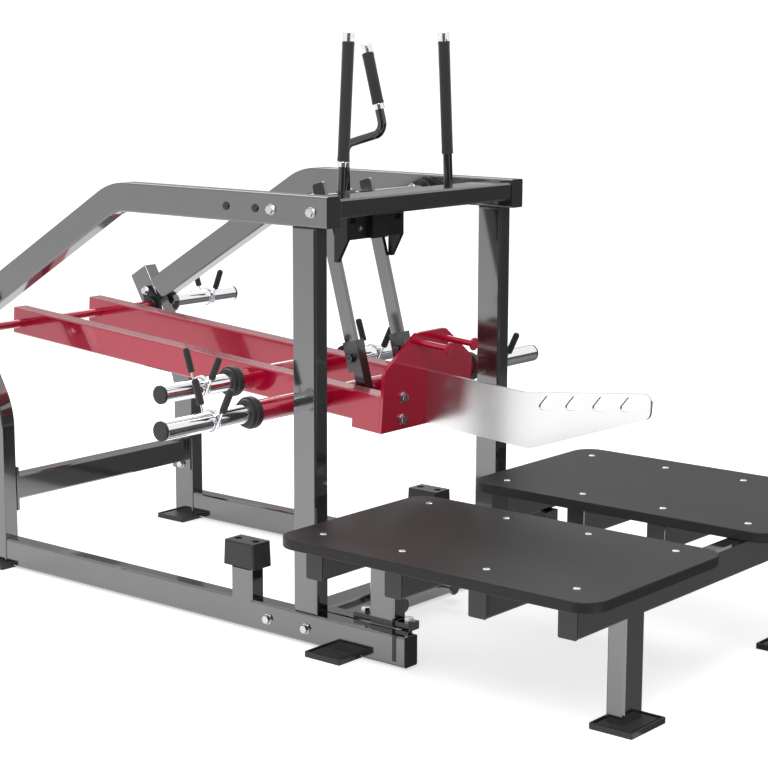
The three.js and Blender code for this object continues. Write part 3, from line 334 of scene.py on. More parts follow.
def round_end(radius, length, rim=0.002):
    """The profile of a plug whose far rim is rounded."""
    arc = []
    for i in range(RIM_ARC_STEPS + 1):
        angle = QUARTER * i / RIM_ARC_STEPS
        arc.append((radius - rim + rim * math.cos(angle), length - rim + rim * math.sin(angle)))
    return [(0, 0), (radius, 0), *arc, (0, length)]


print("Helpers ready: unique, turned_to, spun, round_end. Steps in a turn:", TURNED_STEPS)

# %% [markdown]
# Boards, caps and flat bars are all panels. One bevel over a whole box would give every
# edge the same radius, but a panel's corners are far rounder than its rims. So a scaled
# cube gets its edges along one axis rounded first and its two rims after that, the same
# order in which a joiner cuts a panel and then runs the router round it.

# %% A helper for panels
ALONG_X, ALONG_Y, ALONG_Z = range(3)
CORNER_STEPS, RIM_STEPS, LEAST_LENGTH, SQUARE_ON = 4, 3, 1e-6, 0.99


def panel(bm, low, high, axis, corner, rim, steps=CORNER_STEPS):
    """A box between two places: first its edges along an axis are rounded, then its rims."""
    low, high = Vector(low), Vector(high)
    old = set(bm.faces)
    spots = bmesh.ops.create_cube(bm, size=1)["verts"]
    bmesh.ops.scale(bm, vec=high - low, verts=spots)
    bmesh.ops.translate(bm, vec=(low + high) / 2, verts=spots)
    edges = unique(edge for spot in spots for edge in spot.link_edges)
    along = [e for e in edges
             if abs((e.verts[0].co - e.verts[1].co)[axis]) > LEAST_LENGTH]
    bmesh.ops.bevel(bm, geom=along, offset=corner, segments=steps, profile=0.5,
                    affect="EDGES", material=-1)
    bm.normal_update()
    ends = [face for face in bm.faces
            if face not in old and abs(face.normal[axis]) > SQUARE_ON]
    rims = unique(edge for face in ends for edge in face.edges)
    bmesh.ops.bevel(bm, geom=rims, offset=rim, segments=RIM_STEPS, profile=0.5,
                    affect="EDGES", material=-1)


print("Helper ready: panel. Steps in a rim:", RIM_STEPS)

# %% [markdown]
# The side frames bend twice, once in the upright and once in the top beam. A curve could
# carry the tube, but a bevelled curve would make a poor rectangle. So a rounded section is
# pushed straight, spun round the bend and pushed straight again. That follows how a tube
# bender works, and gives smooth highlights where the solids show three facets.

# %% A helper for bent tubes
TUBE_WIDTH, TUBE_HEIGHT, TUBE_ROUND = 0.050, 0.078, 0.005
BEND_RADIUS, BEND_STEPS, ROUND_STEPS = 0.171, 16, 5
OUTER_X, MERGE = 0.411, 1e-6


def only(kind, geom):
    return [part for part in geom if isinstance(part, kind)]


def pushed(bm, face, push, keep):
    """Extrudes a face by a push and returns the new face."""
    grown = bmesh.ops.extrude_face_region(bm, geom=[face], use_keep_orig=keep)["geom"]
    bmesh.ops.translate(bm, vec=push, verts=only(bmesh.types.BMVert, grown))
    return only(bmesh.types.BMFace, grown)[0]


def bent_tube(name, side, points, replaced):
    bm = bmesh.new()
    start, corner, end = (Vector((0, y - MIDDLE, z)) for y, z in points)
    into, out = (corner - start).normalized(), (end - corner).normalized()
    angle = into.angle(out)
    axis = into.cross(out).normalized()
    reach = BEND_RADIUS * math.tan(angle / 2)
    flank = axis.cross(into).normalized()
    middle = Vector((side * (OUTER_X - TUBE_WIDTH / 2), 0, 0))
    section = [bm.verts.new(middle + start + Vector((a * TUBE_WIDTH / 2, 0, 0))
                            + flank * (b * TUBE_HEIGHT / 2))
               for a, b in ((1, 1), (-1, 1), (-1, -1), (1, -1))]
    face = bm.faces.new(section)
    bmesh.ops.bevel(bm, geom=list(face.verts), offset=TUBE_ROUND, segments=ROUND_STEPS,
                    profile=0.5, affect="VERTICES", material=-1)
    face = pushed(bm, bm.faces[:][0], corner - into * reach - start, True)
    centre = middle + corner - into * reach + flank * BEND_RADIUS
    spin = bmesh.ops.spin(bm, geom=[face, *face.edges, *face.verts], cent=centre, axis=axis,
                          dvec=(0, 0, 0), angle=angle, steps=BEND_STEPS, use_duplicate=False)
    face = only(bmesh.types.BMFace, spin["geom_last"])[0]
    pushed(bm, face, end - corner - out * reach, False)
    bmesh.ops.remove_doubles(bm, verts=bm.verts, dist=MERGE)
    inner = [f for f in bm.faces if all(len(e.link_faces) > 2 for e in f.edges)]
    bmesh.ops.delete(bm, geom=inner, context="FACES_ONLY")
    make(name, bm, "frame", [gunmetal], replaced)


print("Helpers ready: only, pushed, bent_tube. Bend radius:", BEND_RADIUS, "m")

# %% [markdown]
# Each side frame is an upright that leans forward at its top and a beam that slopes down
# to meet it at a right angle. The beam's length could be typed in, but it follows from
# where the two bends stand, so it is worked out from them and always fits.

# %% Bent tubes of the side frames
LEAN, LEAN_LENGTH, SEAT_GAP = math.radians(30.7), 0.382, 0.0003
UPRIGHT_FOOT, REAR_BEND = (1.251, 0.008), Vector((1.251, 0.458))
TOP_START, TOP_BEND = Vector((-0.039, 1.115)), Vector((0.724, 1.115))

lean_way = Vector((math.sin(LEAN), math.cos(LEAN)))
slope_way = Vector((math.cos(LEAN), -math.sin(LEAN)))
slope_reach = (REAR_BEND - TOP_BEND).dot(slope_way) - TUBE_HEIGHT / 2 - SEAT_GAP
upright_path = [UPRIGHT_FOOT, REAR_BEND, REAR_BEND + lean_way * LEAN_LENGTH]
beam_path = [TOP_START, TOP_BEND, TOP_BEND + slope_way * slope_reach]
for word, side in sides:
    bent_tube(f"rear_upright_tube_{word}", side, upright_path, [f"rear_upright_{word}"])
    bent_tube(f"top_beam_tube_{word}", side, beam_path, [f"top_beam_{word}"])

# %% [markdown]
# A plate horn is a chrome sleeve with a rubber stop at its root and a plug in its end.
# All three are turned parts, so each is one profile, spun. The stop has a wide ring and a
# narrower lip, and the plug is a little crowned. They could be three objects, but a horn
# moves as one, so they share a mesh with three finishes. The storage horns' stops are
# painted steel.

# %% Plate horns
HORN_STEPS, STOP_LENGTH = 64, 0.032
STOP = [(0, 0), (0.0385, 0), (0.0405, 0.0008), (0.0415, 0.003), (0.0415, 0.0165),
        (0.0405, 0.019), (0.0375, 0.0198), (0.0362, 0.0206), (0.0358, 0.0285),
        (0.0347, 0.0307), (0.0325, 0.0317), (0.0255, 0.0317), (0.0255, 0.030), (0, 0.030)]
# The sleeve's end and the plug are (radius, distance back from the horn's end).
SLEEVE_ROOT = [(0, 0.0302), (0.025, 0.0302)]
SLEEVE_END = [(0.025, 0.0092), (0.0246, 0.0084), (0, 0.0084)]
PLUG = [(0, 0.0082), (0.0243, 0.0082), (0.0247, 0.0076), (0.0247, 0.0022),
        (0.0238, 0.0008), (0.0215, 0.0002), (0.012, 0), (0, 0)]
FRONT_HORN, REAR_HORN = -1.197, -0.922
# Name, body, matrix, place across the horn, root, length and the finish of the stop.
HORNS = [("front", "lever", ON_LEVER, (FRONT_HORN, 0), 0.450, 0.296, rubber),
         ("rear", "lever", ON_LEVER, (REAR_HORN, 0), 0.230, 0.251, rubber),
         ("storage", "frame", ON_FRAME, (PIVOT.y, PIVOT.z), OUTER_X, 0.282, gunmetal)]

for word, side in sides:
    way = Vector((side, 0, 0))
    for kind, body, where, (y, z), root, length, stop_finish in HORNS:
        bm = bmesh.new()
        at = Vector((side * (root + SEAT_GAP), y, z))
        end = STOP_LENGTH + length - SEAT_GAP
        sleeve = SLEEVE_ROOT + [(radius, end - back) for radius, back in SLEEVE_END]
        plug = [(radius, end - back) for radius, back in PLUG]
        for index, profile in ((1, STOP), (0, sleeve), (2, plug)):
            spun(bm, profile, at, way, HORN_STEPS, index)
        place_on(bm, where)
        make(f"{kind}_plate_horn_{word}", bm, body, [chrome, stop_finish, rubber],
             [f"{kind}_horn_{word}"])

# %% [markdown]
# Round bars cross the lever and the rack: two carry the horns and two are the shafts. The
# plain solids show their flat facets close up. A bar spun from forty-eight steps reads as
# round from any side, and its ends get a small turned chamfer.

# %% Cross tubes and shafts
HORN_TUBE, SHAFT, BAR_CHAMFER, SHAFT_HALF = 0.0285, 0.0125, 0.001, 0.345
# Name, body, matrix, place along the lever, radius, half length, finish, slot, solid.
BARS = [("front_horn_bar", "lever", ON_LEVER, FRONT_HORN, HORN_TUBE, 0.4497, deep_red,
         "red_paint", "front_horn_tube"),
        ("rear_horn_bar", "lever", ON_LEVER, REAR_HORN, HORN_TUBE, 0.2297, deep_red,
         "red_paint", "rear_horn_tube"),
        ("lever_shaft_bar", "lever", ON_LEVER, 0, SHAFT, SHAFT_HALF, deep_red,
         "red_paint", "pivot_shaft"),
        ("rack_shaft_bar", "rack", ON_RACK, 0, SHAFT, SHAFT_HALF, gunmetal,
         "galvanised", "rack_shaft")]

for name, body, where, y, radius, half, bar_finish, slot, solid in BARS:
    bm = bmesh.new()
    face_radius, shoulder_at = radius - BAR_CHAMFER, half - BAR_CHAMFER
    profile = [(0, -half), (face_radius, -half), (radius, -shoulder_at),
               (radius, shoulder_at), (face_radius, half), (0, half)]
    spun(bm, profile, Vector((0, y, 0)), Vector((1, 0, 0)))
    place_on(bm, where)
    make(name, bm, body, [bar_finish], [solid])

# %% [markdown]
# Spring wire and cranked bar keep one radius along a winding path. Spinning and pushing a
# circle would take many steps, but a curve with a round bevel does it in one. The curve is
# made a mesh at once, so that turned parts can join it and it rides like other pieces.


# %% A helper for wire and bar
def tube_along(name, path, radius, roundness):
    """A closed tube of one radius along a path of places, as a bmesh."""
    line = bpy.data.curves.new(name, "CURVE")
    line.dimensions = "3D"
    line.bevel_depth = radius
    line.bevel_resolution = roundness
    line.use_fill_caps = True
    spline = line.splines.new("POLY")
    spline.points.add(len(path) - 1)
    for point, spot in zip(spline.points, path):
        point.co = (*spot, 1)
    holder = linked(name, line)
    bm = bmesh.new()
    bm.from_mesh(holder.to_mesh())
    holder.to_mesh_clear()
    bpy.data.objects.remove(holder)
    bmesh.ops.remove_doubles(bm, verts=bm.verts, dist=MERGE)
    return bm


print("Helper ready: tube_along")

# %% [markdown]
# A spring collar is one length of chromed wire: two and a bit coils round the sleeve, then
# two straight tails that spread under ridged grips. A screw modifier could wind the coils,
# but the tails have to leave them along their tangents, so the path is worked out point by
# point and the wire follows it.

# %% Spring collars
WIRE_RADIUS, WIRE_ROUNDNESS, COIL_RADIUS, COIL_STEPS = 0.0025, 3, 0.0288, 60
COIL_START, COIL_TURN = math.radians(202.5), math.radians(855)
COIL_SPREAD, TAIL_BARE, TAIL_IN_GRIP = 0.01378, 0.045, 0.040
GRIP_RADIUS, GRIP_LENGTH, GRIP_STEPS, WIRE_SHARPEST = 0.0095, 0.068, 24, 50
RIDGES, RIDGE_FIRST, RIDGE_PITCH, RIDGE_FLAT = 9, 0.004, 0.0066, 0.0046
VALLEY_DEPTH, VALLEY_AT = 0.0007, 0.0056
# How far out each pair of collars sits on its horns.
COLLARS = {"front": 0.600, "rear": 0.358, "storage": 0.604}

grip = [(0, 0), (0.0070, 0), (0.0086, 0.0015)]
for i in range(RIDGES):
    start = RIDGE_FIRST + i * RIDGE_PITCH
    grip += [(GRIP_RADIUS, start), (GRIP_RADIUS, start + RIDGE_FLAT),
             (GRIP_RADIUS - VALLEY_DEPTH, start + VALLEY_AT)]
grip += [(GRIP_RADIUS - 0.001, GRIP_LENGTH - 0.004), (0.0062, GRIP_LENGTH - 0.0008),
         (0, GRIP_LENGTH)]


def collar(name, body, where, middle, replaced):
    coil = []
    for i in range(COIL_STEPS + 1):
        angle = COIL_START + COIL_TURN * i / COIL_STEPS
        along = COIL_SPREAD * (i / COIL_STEPS - 0.5)
        coil.append(middle + Vector((along, COIL_RADIUS * math.cos(angle),
                                     COIL_RADIUS * math.sin(angle))))
    last = COIL_START + COIL_TURN
    ways = [Vector((0, math.sin(COIL_START), -math.cos(COIL_START))),
            Vector((0, -math.sin(last), math.cos(last)))]
    reach = TAIL_BARE + TAIL_IN_GRIP
    path = [coil[0] + ways[0] * reach, *coil, coil[-1] + ways[1] * reach]
    bm = tube_along(name + "_wire", path, WIRE_RADIUS, WIRE_ROUNDNESS)
    for root, way in zip((coil[0], coil[-1]), ways):
        spun(bm, grip, root + way * TAIL_BARE, way, GRIP_STEPS, 1)
    place_on(bm, where)
    make(name, bm, body, [chrome, foam], replaced, sharpest=WIRE_SHARPEST)


for word, side in sides:
    for kind, _, where, (y, z), *_ in HORNS:
        collar(f"{kind}_collar_spring_{word}", f"{kind}_clip_{word}", where,
               Vector((side * COLLARS[kind], y, z)), [f"{kind}_collar_{word}"])

# %% [markdown]
# The user stands on two thick laminate boards with generous corners and a small eased rim,
# so each is one panel. Their screws stand in line with the four rails below. A screw's
# head is crowned, with a round recess that could be cut out of it, but a profile that dips
# in the middle gives the same form with no cut.

# %% Boards and their screws
BOARD_X, BOARD_Y = (0.100, 0.671), (-1.005 - MIDDLE, -0.091 - MIDDLE)
BOARD_Z, BOARD_CORNER, BOARD_RIM, BOARD_STEPS = (0.338, 0.364), 0.060, 0.003, 14
RAIL_ROWS = [-0.174 - 0.2437 * row - MIDDLE for row in range(4)]
SCREW_X, SCREW_STEPS = (0.170, 0.581), 24
SCREW_HEAD = [(0, -0.001), (0.009, -0.001), (0.0088, 0.0006), (0.0074, 0.0019),
              (0.0050, 0.0026), (0.0034, 0.0026), (0.0032, 0.0010), (0, 0.0010)]

for word, side in sides:
    bm = bmesh.new()
    inner, outer = sorted(side * x for x in BOARD_X)
    low, high = (inner, BOARD_Y[0], BOARD_Z[0]), (outer, BOARD_Y[1], BOARD_Z[1])
    panel(bm, low, high, ALONG_Z, BOARD_CORNER, BOARD_RIM, BOARD_STEPS)
    make(f"foot_board_{word}", bm, "frame", [laminate], [f"board_{word}"])
    screws = bmesh.new()
    for x in SCREW_X:
        for y in RAIL_ROWS:
            spun(screws, SCREW_HEAD, Vector((side * x, y, BOARD_Z[1])), UP, SCREW_STEPS)
    make(f"board_screws_{word}", screws, "frame", [chrome])

# %% [markdown]
# The six feet are rubber trays: a raised lip, a groove inside it and a flat that carries
# the tube. Insets of a face would do, but they cross themselves where a corner's rounding
# is smaller than the inset. So each foot is a stack of rounded rectangles in its solid's
# own box, every one drawn with its own corners, joined by strips.

# %% Feet
FOOT_CORNER, LEAST_CORNER, FOOT_STEPS = 0.004, 0.0006, 4
# Each rectangle is drawn in by the first number and stands at the height of the second.
FOOT_RINGS = [(0.0008, 0), (0, 0.0008), (0, 0.0142), (0.0008, 0.0150), (0.0052, 0.0150),
              (0.0058, 0.0090), (0.0115, 0.0090), (0.0121, 0.0128)]


def rounded_ring(bm, low, high, inset, height):
    """Vertices round a box, drawn in by an inset and lifted to a height."""
    radius = max(FOOT_CORNER - inset, LEAST_CORNER)
    pull = inset + radius
    ring = []
    for quarter, (x_sign, y_sign) in enumerate(((1, 1), (-1, 1), (-1, -1), (1, -1))):
        x = (high if x_sign > 0 else low).x - x_sign * pull
        y = (high if y_sign > 0 else low).y - y_sign * pull
        for step in range(FOOT_STEPS + 1):
            angle = QUARTER * (quarter + step / FOOT_STEPS)
            ring.append(bm.verts.new((x + radius * math.cos(angle),
                                      y + radius * math.sin(angle), height)))
    return ring


def box_of(node):
    corners = [nodes[node].matrix_world @ Vector(corner) for corner in nodes[node].bound_box]
    return (Vector([pick(corner[i] for corner in corners) for i in range(3)])
            for pick in (min, max))


for word, _ in sides:
    for foot in ("front_foot", "rear_foot", "leg_foot"):
        bm = bmesh.new()
        low, high = box_of(f"{foot}_{word}")
        rings = [rounded_ring(bm, low, high, *ring) for ring in FOOT_RINGS]
        for under, over in zip(rings, rings[1:]):
            for i in range(len(under)):
                bm.faces.new((under[i - 1], under[i], over[i], over[i - 1]))
        bm.faces.new(rings[0][::-1])
        bm.faces.new(rings[-1])
        make(f"{foot}_tray_{word}", bm, "frame", [rubber], [f"{foot}_{word}"])

# %% [markdown]
# Thin black caps close the cut ends of the platform's rails and of the base beams. A black
# strip fills the notch near each base beam's front; it is painted shade, the dark of the
# notch's recess drawn as a solid part. They are panels as well. The front rail runs
# through from side to side, so it has no inner ends to cap.

# %% End caps and strips
CAP_THICK, CAP_OVER, CAP_CORNER, CAP_RIM, CAP_SHARPEST = 0.0014, 0.0003, 0.0045, 0.0002, 20
RAIL_END_X, RAIL_WIDTH, RAIL_Z, FRONT_RAIL = (0.138, 0.613), 0.050, (0.2577, 0.3377), 3
BEAM_CAP_X, BEAM_CAP_TOP, BEAM_CAP_RIM = (0.3615, 0.4105), 0.0855, 0.0005
NOTCH_X, NOTCH_CORNER = (0.4078, 0.4106), 0.0008
NOTCH_Y, NOTCH_Z = (-0.2629 - MIDDLE, -0.2501 - MIDDLE), (0.0203, 0.0857)

caps = bmesh.new()
for word, side in sides:
    for row, y in enumerate(RAIL_ROWS):
        for end, out in zip(RAIL_END_X, (-side, side)):
            if row != FRONT_RAIL or out == side:
                x0, x1 = sorted((side * end, side * end + out * CAP_THICK))
                low = (x0, y - RAIL_WIDTH / 2 - CAP_OVER, RAIL_Z[0] - CAP_OVER)
                high = (x1, y + RAIL_WIDTH / 2 + CAP_OVER, RAIL_Z[1] + CAP_OVER)
                panel(caps, low, high, ALONG_X, CAP_CORNER, CAP_RIM)
    beam, _ = box_of(f"base_beam_{word}")
    x0, x1 = sorted(side * x for x in BEAM_CAP_X)
    panel(caps, (x0, beam.y - CAP_THICK, beam.z - CAP_OVER), (x1, beam.y, BEAM_CAP_TOP),
          ALONG_Y, CAP_CORNER, BEAM_CAP_RIM)
    # The notch strip is painted shade: black plastic set in the notch to draw its dark recess.
    x0, x1 = sorted(side * x for x in NOTCH_X)
    panel(caps, (x0, NOTCH_Y[0], NOTCH_Z[0]), (x1, NOTCH_Y[1], NOTCH_Z[1]), ALONG_X,
          NOTCH_CORNER, CAP_RIM)
make("end_caps_and_notch_shade", caps, "frame", [plastic], sharpest=CAP_SHARPEST)

# %% [markdown]
# Two flat bars hang from the rack's shaft and carry the hooks. Their corners are softly
# rounded and their rims only just eased, which one bevel modifier could not tell apart, so
# each is a panel. It is written square, and the rack's matrix tilts it.

# %% Struts
STRUT_X, STRUT_HALF, STRUT_Z = 0.097, (0.0063, 0.020), (-0.46415, 0.044)
STRUT_CORNER, STRUT_RIM = 0.008, 0.0008

for word, side in sides:
    bm = bmesh.new()
    low = (side * STRUT_X - STRUT_HALF[0], -STRUT_HALF[1], STRUT_Z[0])
    high = (side * STRUT_X + STRUT_HALF[0], STRUT_HALF[1], STRUT_Z[1])
    panel(bm, low, high, ALONG_X, STRUT_CORNER, STRUT_RIM)
    place_on(bm, ON_RACK)
    make(f"strut_bar_{word}", bm, "rack", [gunmetal], [f"strut_{word}"])

# %% [markdown]
# Bolts hold the frame: zinc plated hexagon heads on wide washers. Spinning in six steps
# would give a head too, but its top edges would need another profile. One head is a
# six-sided cone primitive with no taper, its top edges chamfered, on a spun washer. The
# heads are a little larger than the plain ones on the solids, which they cover.

# %% A helper for hexagon bolts
BOLT_RADIUS, BOLT_HEIGHT, BOLT_CHAMFER, BOLT_CHAMFER_STEPS = 0.0118, 0.0092, 0.0016, 2
WASHER_OVER, WASHER_SUNK, WASHER_TOP, WASHER_ROUND = 0.0022, -0.0004, 0.0020, 0.0006
SMALL_STEPS, HEAD_SEAT = 32, 0.0018


def hex_bolt(bm, at, way, radius=BOLT_RADIUS, height=BOLT_HEIGHT):
    at, way = Vector(at), Vector(way)
    wide = radius + WASHER_OVER
    washer = [(0, WASHER_SUNK), (wide, WASHER_SUNK), (wide, WASHER_TOP - WASHER_ROUND),
              (wide - WASHER_ROUND, WASHER_TOP), (0, WASHER_TOP)]
    spun(bm, washer, at, way, SMALL_STEPS)
    spot = turned_to(at + way * (HEAD_SEAT + height / 2), way)
    head = bmesh.ops.create_cone(bm, cap_ends=True, segments=6, radius1=radius,
                                 radius2=radius, depth=height, matrix=spot)["verts"]
    top = [v for v in head if (v.co - at).dot(way) > height / 2]
    rim = unique(e for v in top for e in v.link_edges if all(end in top for end in e.verts))
    bmesh.ops.bevel(bm, geom=rim, offset=BOLT_CHAMFER, segments=BOLT_CHAMFER_STEPS,
                    profile=0.5, affect="EDGES", material=-1)


print("Helper ready: hex_bolt. Width over its corners:", 2 * BOLT_RADIUS, "m")

# %% [markdown]
# The frame's bolts stand where the tubes meet: through the base and top beams, on the
# posts' base plates, on the rear crossbeam's flanges and beside both shafts' housings. An
# object for each would crowd the scene, so all of them share one mesh and one finish.

# %% Bolts of the frame
BASE_BOLT_Y, BASE_BOLT_Z = (0.036, 0.168), 0.046
TOP_BOLT_Y, TOP_BOLT_Z = (0.012, 0.1455), 1.114
POST_BOLT_X, POST_BOLT_Y, POST_BOLT_Z = 0.3327, (-0.241, -0.100), 0.102
FLANGE_X, FLANGE_Y, FLANGE_Z, FLANGE_REACH = 0.3527, 1.251, 0.226, 0.050
HOUSING_X, HOUSING_REACH = 0.3487, 0.0505
STOP_BOLT, STOP_BOLT_RADIUS, STOP_BOLT_HEIGHT = (-0.068, 0.1453, 1.0405), 0.0058, 0.0055

FORWARD = Vector((0, -1, 0))

bolts = bmesh.new()
housing_turn = QUARTER - LEAN
for _, side in sides:
    outward, inward = (side, 0, 0), (-side, 0, 0)
    for y in BASE_BOLT_Y:
        hex_bolt(bolts, (side * OUTER_X, y - MIDDLE, BASE_BOLT_Z), outward)
    for y in TOP_BOLT_Y:
        hex_bolt(bolts, (side * OUTER_X, y - MIDDLE, TOP_BOLT_Z), outward)
    for y in POST_BOLT_Y:
        hex_bolt(bolts, (side * POST_BOLT_X, y - MIDDLE, POST_BOLT_Z), UP)
    for sign in (-1, 1):
        z = FLANGE_Z + sign * FLANGE_REACH
        hex_bolt(bolts, (side * FLANGE_X, FLANGE_Y - MIDDLE, z), inward)
        reach = sign * HOUSING_REACH
        hex_bolt(bolts, (side * HOUSING_X, RACK_SHAFT.y + reach, RACK_SHAFT.z), inward)
        hex_bolt(bolts, (side * HOUSING_X, PIVOT.y + reach * math.cos(housing_turn),
                         PIVOT.z + reach * math.sin(housing_turn)), inward)
stop_at = Vector(STOP_BOLT) - Vector((0, MIDDLE, 0))
hex_bolt(bolts, stop_at, FORWARD, STOP_BOLT_RADIUS, STOP_BOLT_HEIGHT)
make("frame_bolts", bolts, "frame", [zinc])

# %% [markdown]
# Black plugs close the two holes that the rack's housing leaves in each top beam. Four
# bolts hold the lever's head, and one bolt holds each hook, its nut on the strut's inner
# side. The moving ones are written square on the lever or the rack, then tilted with it.

# %% Plugs, and bolts of the lever and the rack
PLUG_RADIUS, PLUG_RISE, PLUG_ROUND, PLUG_SUNK = 0.0108, 0.0052, 0.003, 0.001
HEAD_FRONT, HEAD_BOLT_X, HEAD_BOLT_RISE = -1.4076, 0.105, 0.0295
HOOK_BOLT_X, HOOK_BOLT_Z, NUT_X, NUT_LENGTH = 0.1126, -0.430, 0.0812, 0.0098

plugs, lever_bolts, rack_bolts = (bmesh.new() for _ in range(3))
for _, side in sides:
    outward, inward = Vector((side, 0, 0)), Vector((-side, 0, 0))
    for sign in (-1, 1):
        at = Vector((side * (OUTER_X - PLUG_SUNK), RACK_SHAFT.y + sign * HOUSING_REACH,
                     RACK_SHAFT.z))
        spun(plugs, round_end(PLUG_RADIUS, PLUG_RISE, PLUG_ROUND), at, outward, SMALL_STEPS)
        hex_bolt(lever_bolts, (side * HEAD_BOLT_X, HEAD_FRONT, sign * HEAD_BOLT_RISE), FORWARD)
    hex_bolt(rack_bolts, (side * HOOK_BOLT_X, 0, HOOK_BOLT_Z), outward)
    spun(rack_bolts, round_end(BOLT_RADIUS, NUT_LENGTH),
         Vector((side * NUT_X, 0, HOOK_BOLT_Z)), inward, 6)
make("hole_plugs", plugs, "frame", [plastic])
place_on(lever_bolts, ON_LEVER)
make("head_bolts", lever_bolts, "lever", [zinc])
place_on(rack_bolts, ON_RACK)
make("hook_bolts", rack_bolts, "rack", [handle_paint])

# %% [markdown]
# Band pegs stick out of the lower crossbeam, and two red pegs out of the lever's head.
# Each is a bar with a disc on its end. They are part of larger solids, which stay, so each
# turned peg is made slightly over the plain one and covers it.

# %% Pegs
DISC_LENGTH, DISC_ROUND, DISC_CROWN, PEG_STEPS = 0.0066, 0.001, 0.002, 40
# Distance from the middle, place along the machine or lever, and height.
BAND_PEG, HEAD_PEG = (0.110, 0.0248 - MIDDLE, 0.054), (0.053, HEAD_FRONT, 0.170)
# Radius, length and radius of the disc.
BAND_PEG_FORM, HEAD_PEG_FORM = (0.0089, 0.0732, 0.0194), (0.0084, 0.1054, 0.0174)


def peg_pair(name, body, where, place, form, peg_finish):
    radius, length, disc = form
    neck = length - DISC_LENGTH
    profile = [(0, 0), (radius, 0), (radius, neck), (disc - DISC_ROUND, neck),
               (disc, neck + DISC_ROUND), (disc, length - DISC_CROWN),
               (disc - DISC_CROWN, length), (0, length)]
    bm = bmesh.new()
    x, y, z = place
    for _, side in sides:
        spun(bm, profile, Vector((side * x, y, z)), FORWARD, PEG_STEPS)
    place_on(bm, where)
    make(name, bm, body, [peg_finish])


peg_pair("band_peg_turned", "frame", ON_FRAME, BAND_PEG, BAND_PEG_FORM, gunmetal)
peg_pair("lever_peg_turned", "lever", ON_LEVER, HEAD_PEG, HEAD_PEG_FORM, deep_red)

# %% [markdown]
# The handles are the parts a hand meets: painted tube, foam sleeve, chromed tip. The foam
# is a little fuller at its ends, and the tip has a slot line. A boolean could cut the line,
# but as a groove in a turned profile it costs two more rings and never leaves a bad edge.


# %% Profiles of foam sleeves and tips
def sleeve_profile(inner, outer, length):
    """A foam sleeve: rounded rims, and a waist between two slightly fuller ends."""
    waist = outer - 0.0006
    return [(inner, 0), (outer - 0.0015, 0), (outer, 0.0015), (outer, 0.004),
            (waist, 0.012), (waist, length - 0.012), (outer, length - 0.004),
            (outer, length - 0.0015), (outer - 0.0015, length), (inner, length), (inner, 0)]


def tip_profile(radius, length):
    """A chromed tip: a rounded rim and a shallow groove half-way up."""
    groove = radius - 0.0008
    return [(0, 0), (radius - 0.0006, 0), (radius, 0.0008), (radius, length * 0.45),
            (groove, length * 0.47), (groove, length * 0.52), (radius, length * 0.54),
            (radius, length - 0.003), (radius - 0.0009, length - 0.0009),
            (radius - 0.003, length), (0, length)]


print("Helpers ready: sleeve_profile, tip_profile")

# %% [markdown]
# Two holding handles rise from behind the top crossbar and lean a little toward each other.
# They could be built upright and then turned, but every part's place is known by its
# height, so a helper finds the point of the handle's axis at a height and the parts start
# there. The left one has a chromed ring under its foam, as the photograph shows.

# %% Holding handles
HOLD_RADIUS, CROSSBAR_BACK = 0.0125, 0.061
HOLD_Y = CROSSBAR_BACK + SEAT_GAP + HOLD_RADIUS - MIDDLE
HOLD_BOTTOM, HOLD_TOP, HOLD_BOTTOM_X, HOLD_TOP_X = 1.085, 1.552, 0.226, 0.195
GRIP_BOTTOM, GRIP_TOP, TUBE_IN_TIP = 1.227, 1.527, 0.006
FOAM_BORE, FOAM_RADIUS, TIP_RADIUS = 0.0128, 0.016, 0.014
RING_RADIUS, RING_LENGTH, RING_BELOW = 0.016, 0.0136, 0.014


def hold_point(side, height):
    share = (height - HOLD_BOTTOM) / (HOLD_TOP - HOLD_BOTTOM)
    x = HOLD_BOTTOM_X + (HOLD_TOP_X - HOLD_BOTTOM_X) * share
    return Vector((side * x, HOLD_Y, height))


for word, side in sides:
    start, stretch = hold_point(side, HOLD_BOTTOM), HOLD_TOP - HOLD_BOTTOM
    line = hold_point(side, HOLD_TOP) - start
    way, lift = line.normalized(), stretch / line.length
    bm = bmesh.new()
    spun(bm, round_end(HOLD_RADIUS, (GRIP_TOP + TUBE_IN_TIP - HOLD_BOTTOM) / lift), start, way)
    tip_length = HOLD_TOP - GRIP_TOP - SEAT_GAP - SEAT_GAP
    tip_at = hold_point(side, GRIP_TOP + SEAT_GAP)
    spun(bm, tip_profile(TIP_RADIUS, tip_length), tip_at, way, finish_index=1)
    if side < 0:
        ring_at = hold_point(side, GRIP_BOTTOM - RING_BELOW)
        spun(bm, round_end(RING_RADIUS, RING_LENGTH), ring_at, way, finish_index=1)
    make(f"hold_tube_{word}", bm, "frame", [handle_paint, chrome],
         [f"hold_handle_{word}"])
    bm = bmesh.new()
    sleeve = sleeve_profile(FOAM_BORE, FOAM_RADIUS, (GRIP_TOP - GRIP_BOTTOM) / lift)
    spun(bm, sleeve, hold_point(side, GRIP_BOTTOM), way)
    make(f"hold_foam_{word}", bm, "frame", [foam], [f"hold_grip_{word}"])

# %% [markdown]
# The release handle is a bar cranked twice. Straight pieces would meet at hard corners,
# and a smooth curve would bend all the way, so the path runs straight between arcs of one
# radius, as a bent bar does.

# %% A helper for cranked paths
ARC_STEPS = 10


def rounded_path(points, bend):
    """The places along a path whose corners are arcs of one radius."""
    path = [points[0]]
    for before, corner, after in zip(points, points[1:], points[2:]):
        back, on = (before - corner).normalized(), (after - corner).normalized()
        angle = back.angle(on)
        centre = corner + (back + on).normalized() * (bend / math.sin(angle / 2))
        first = corner + back * (bend / math.tan(angle / 2)) - centre
        axis = on.cross(back).normalized()
        for i in range(ARC_STEPS + 1):
            arc = Matrix.Rotation((math.pi - angle) * i / ARC_STEPS, 3, axis)
            path.append(centre + arc @ first)
    return [*path, points[-1]]


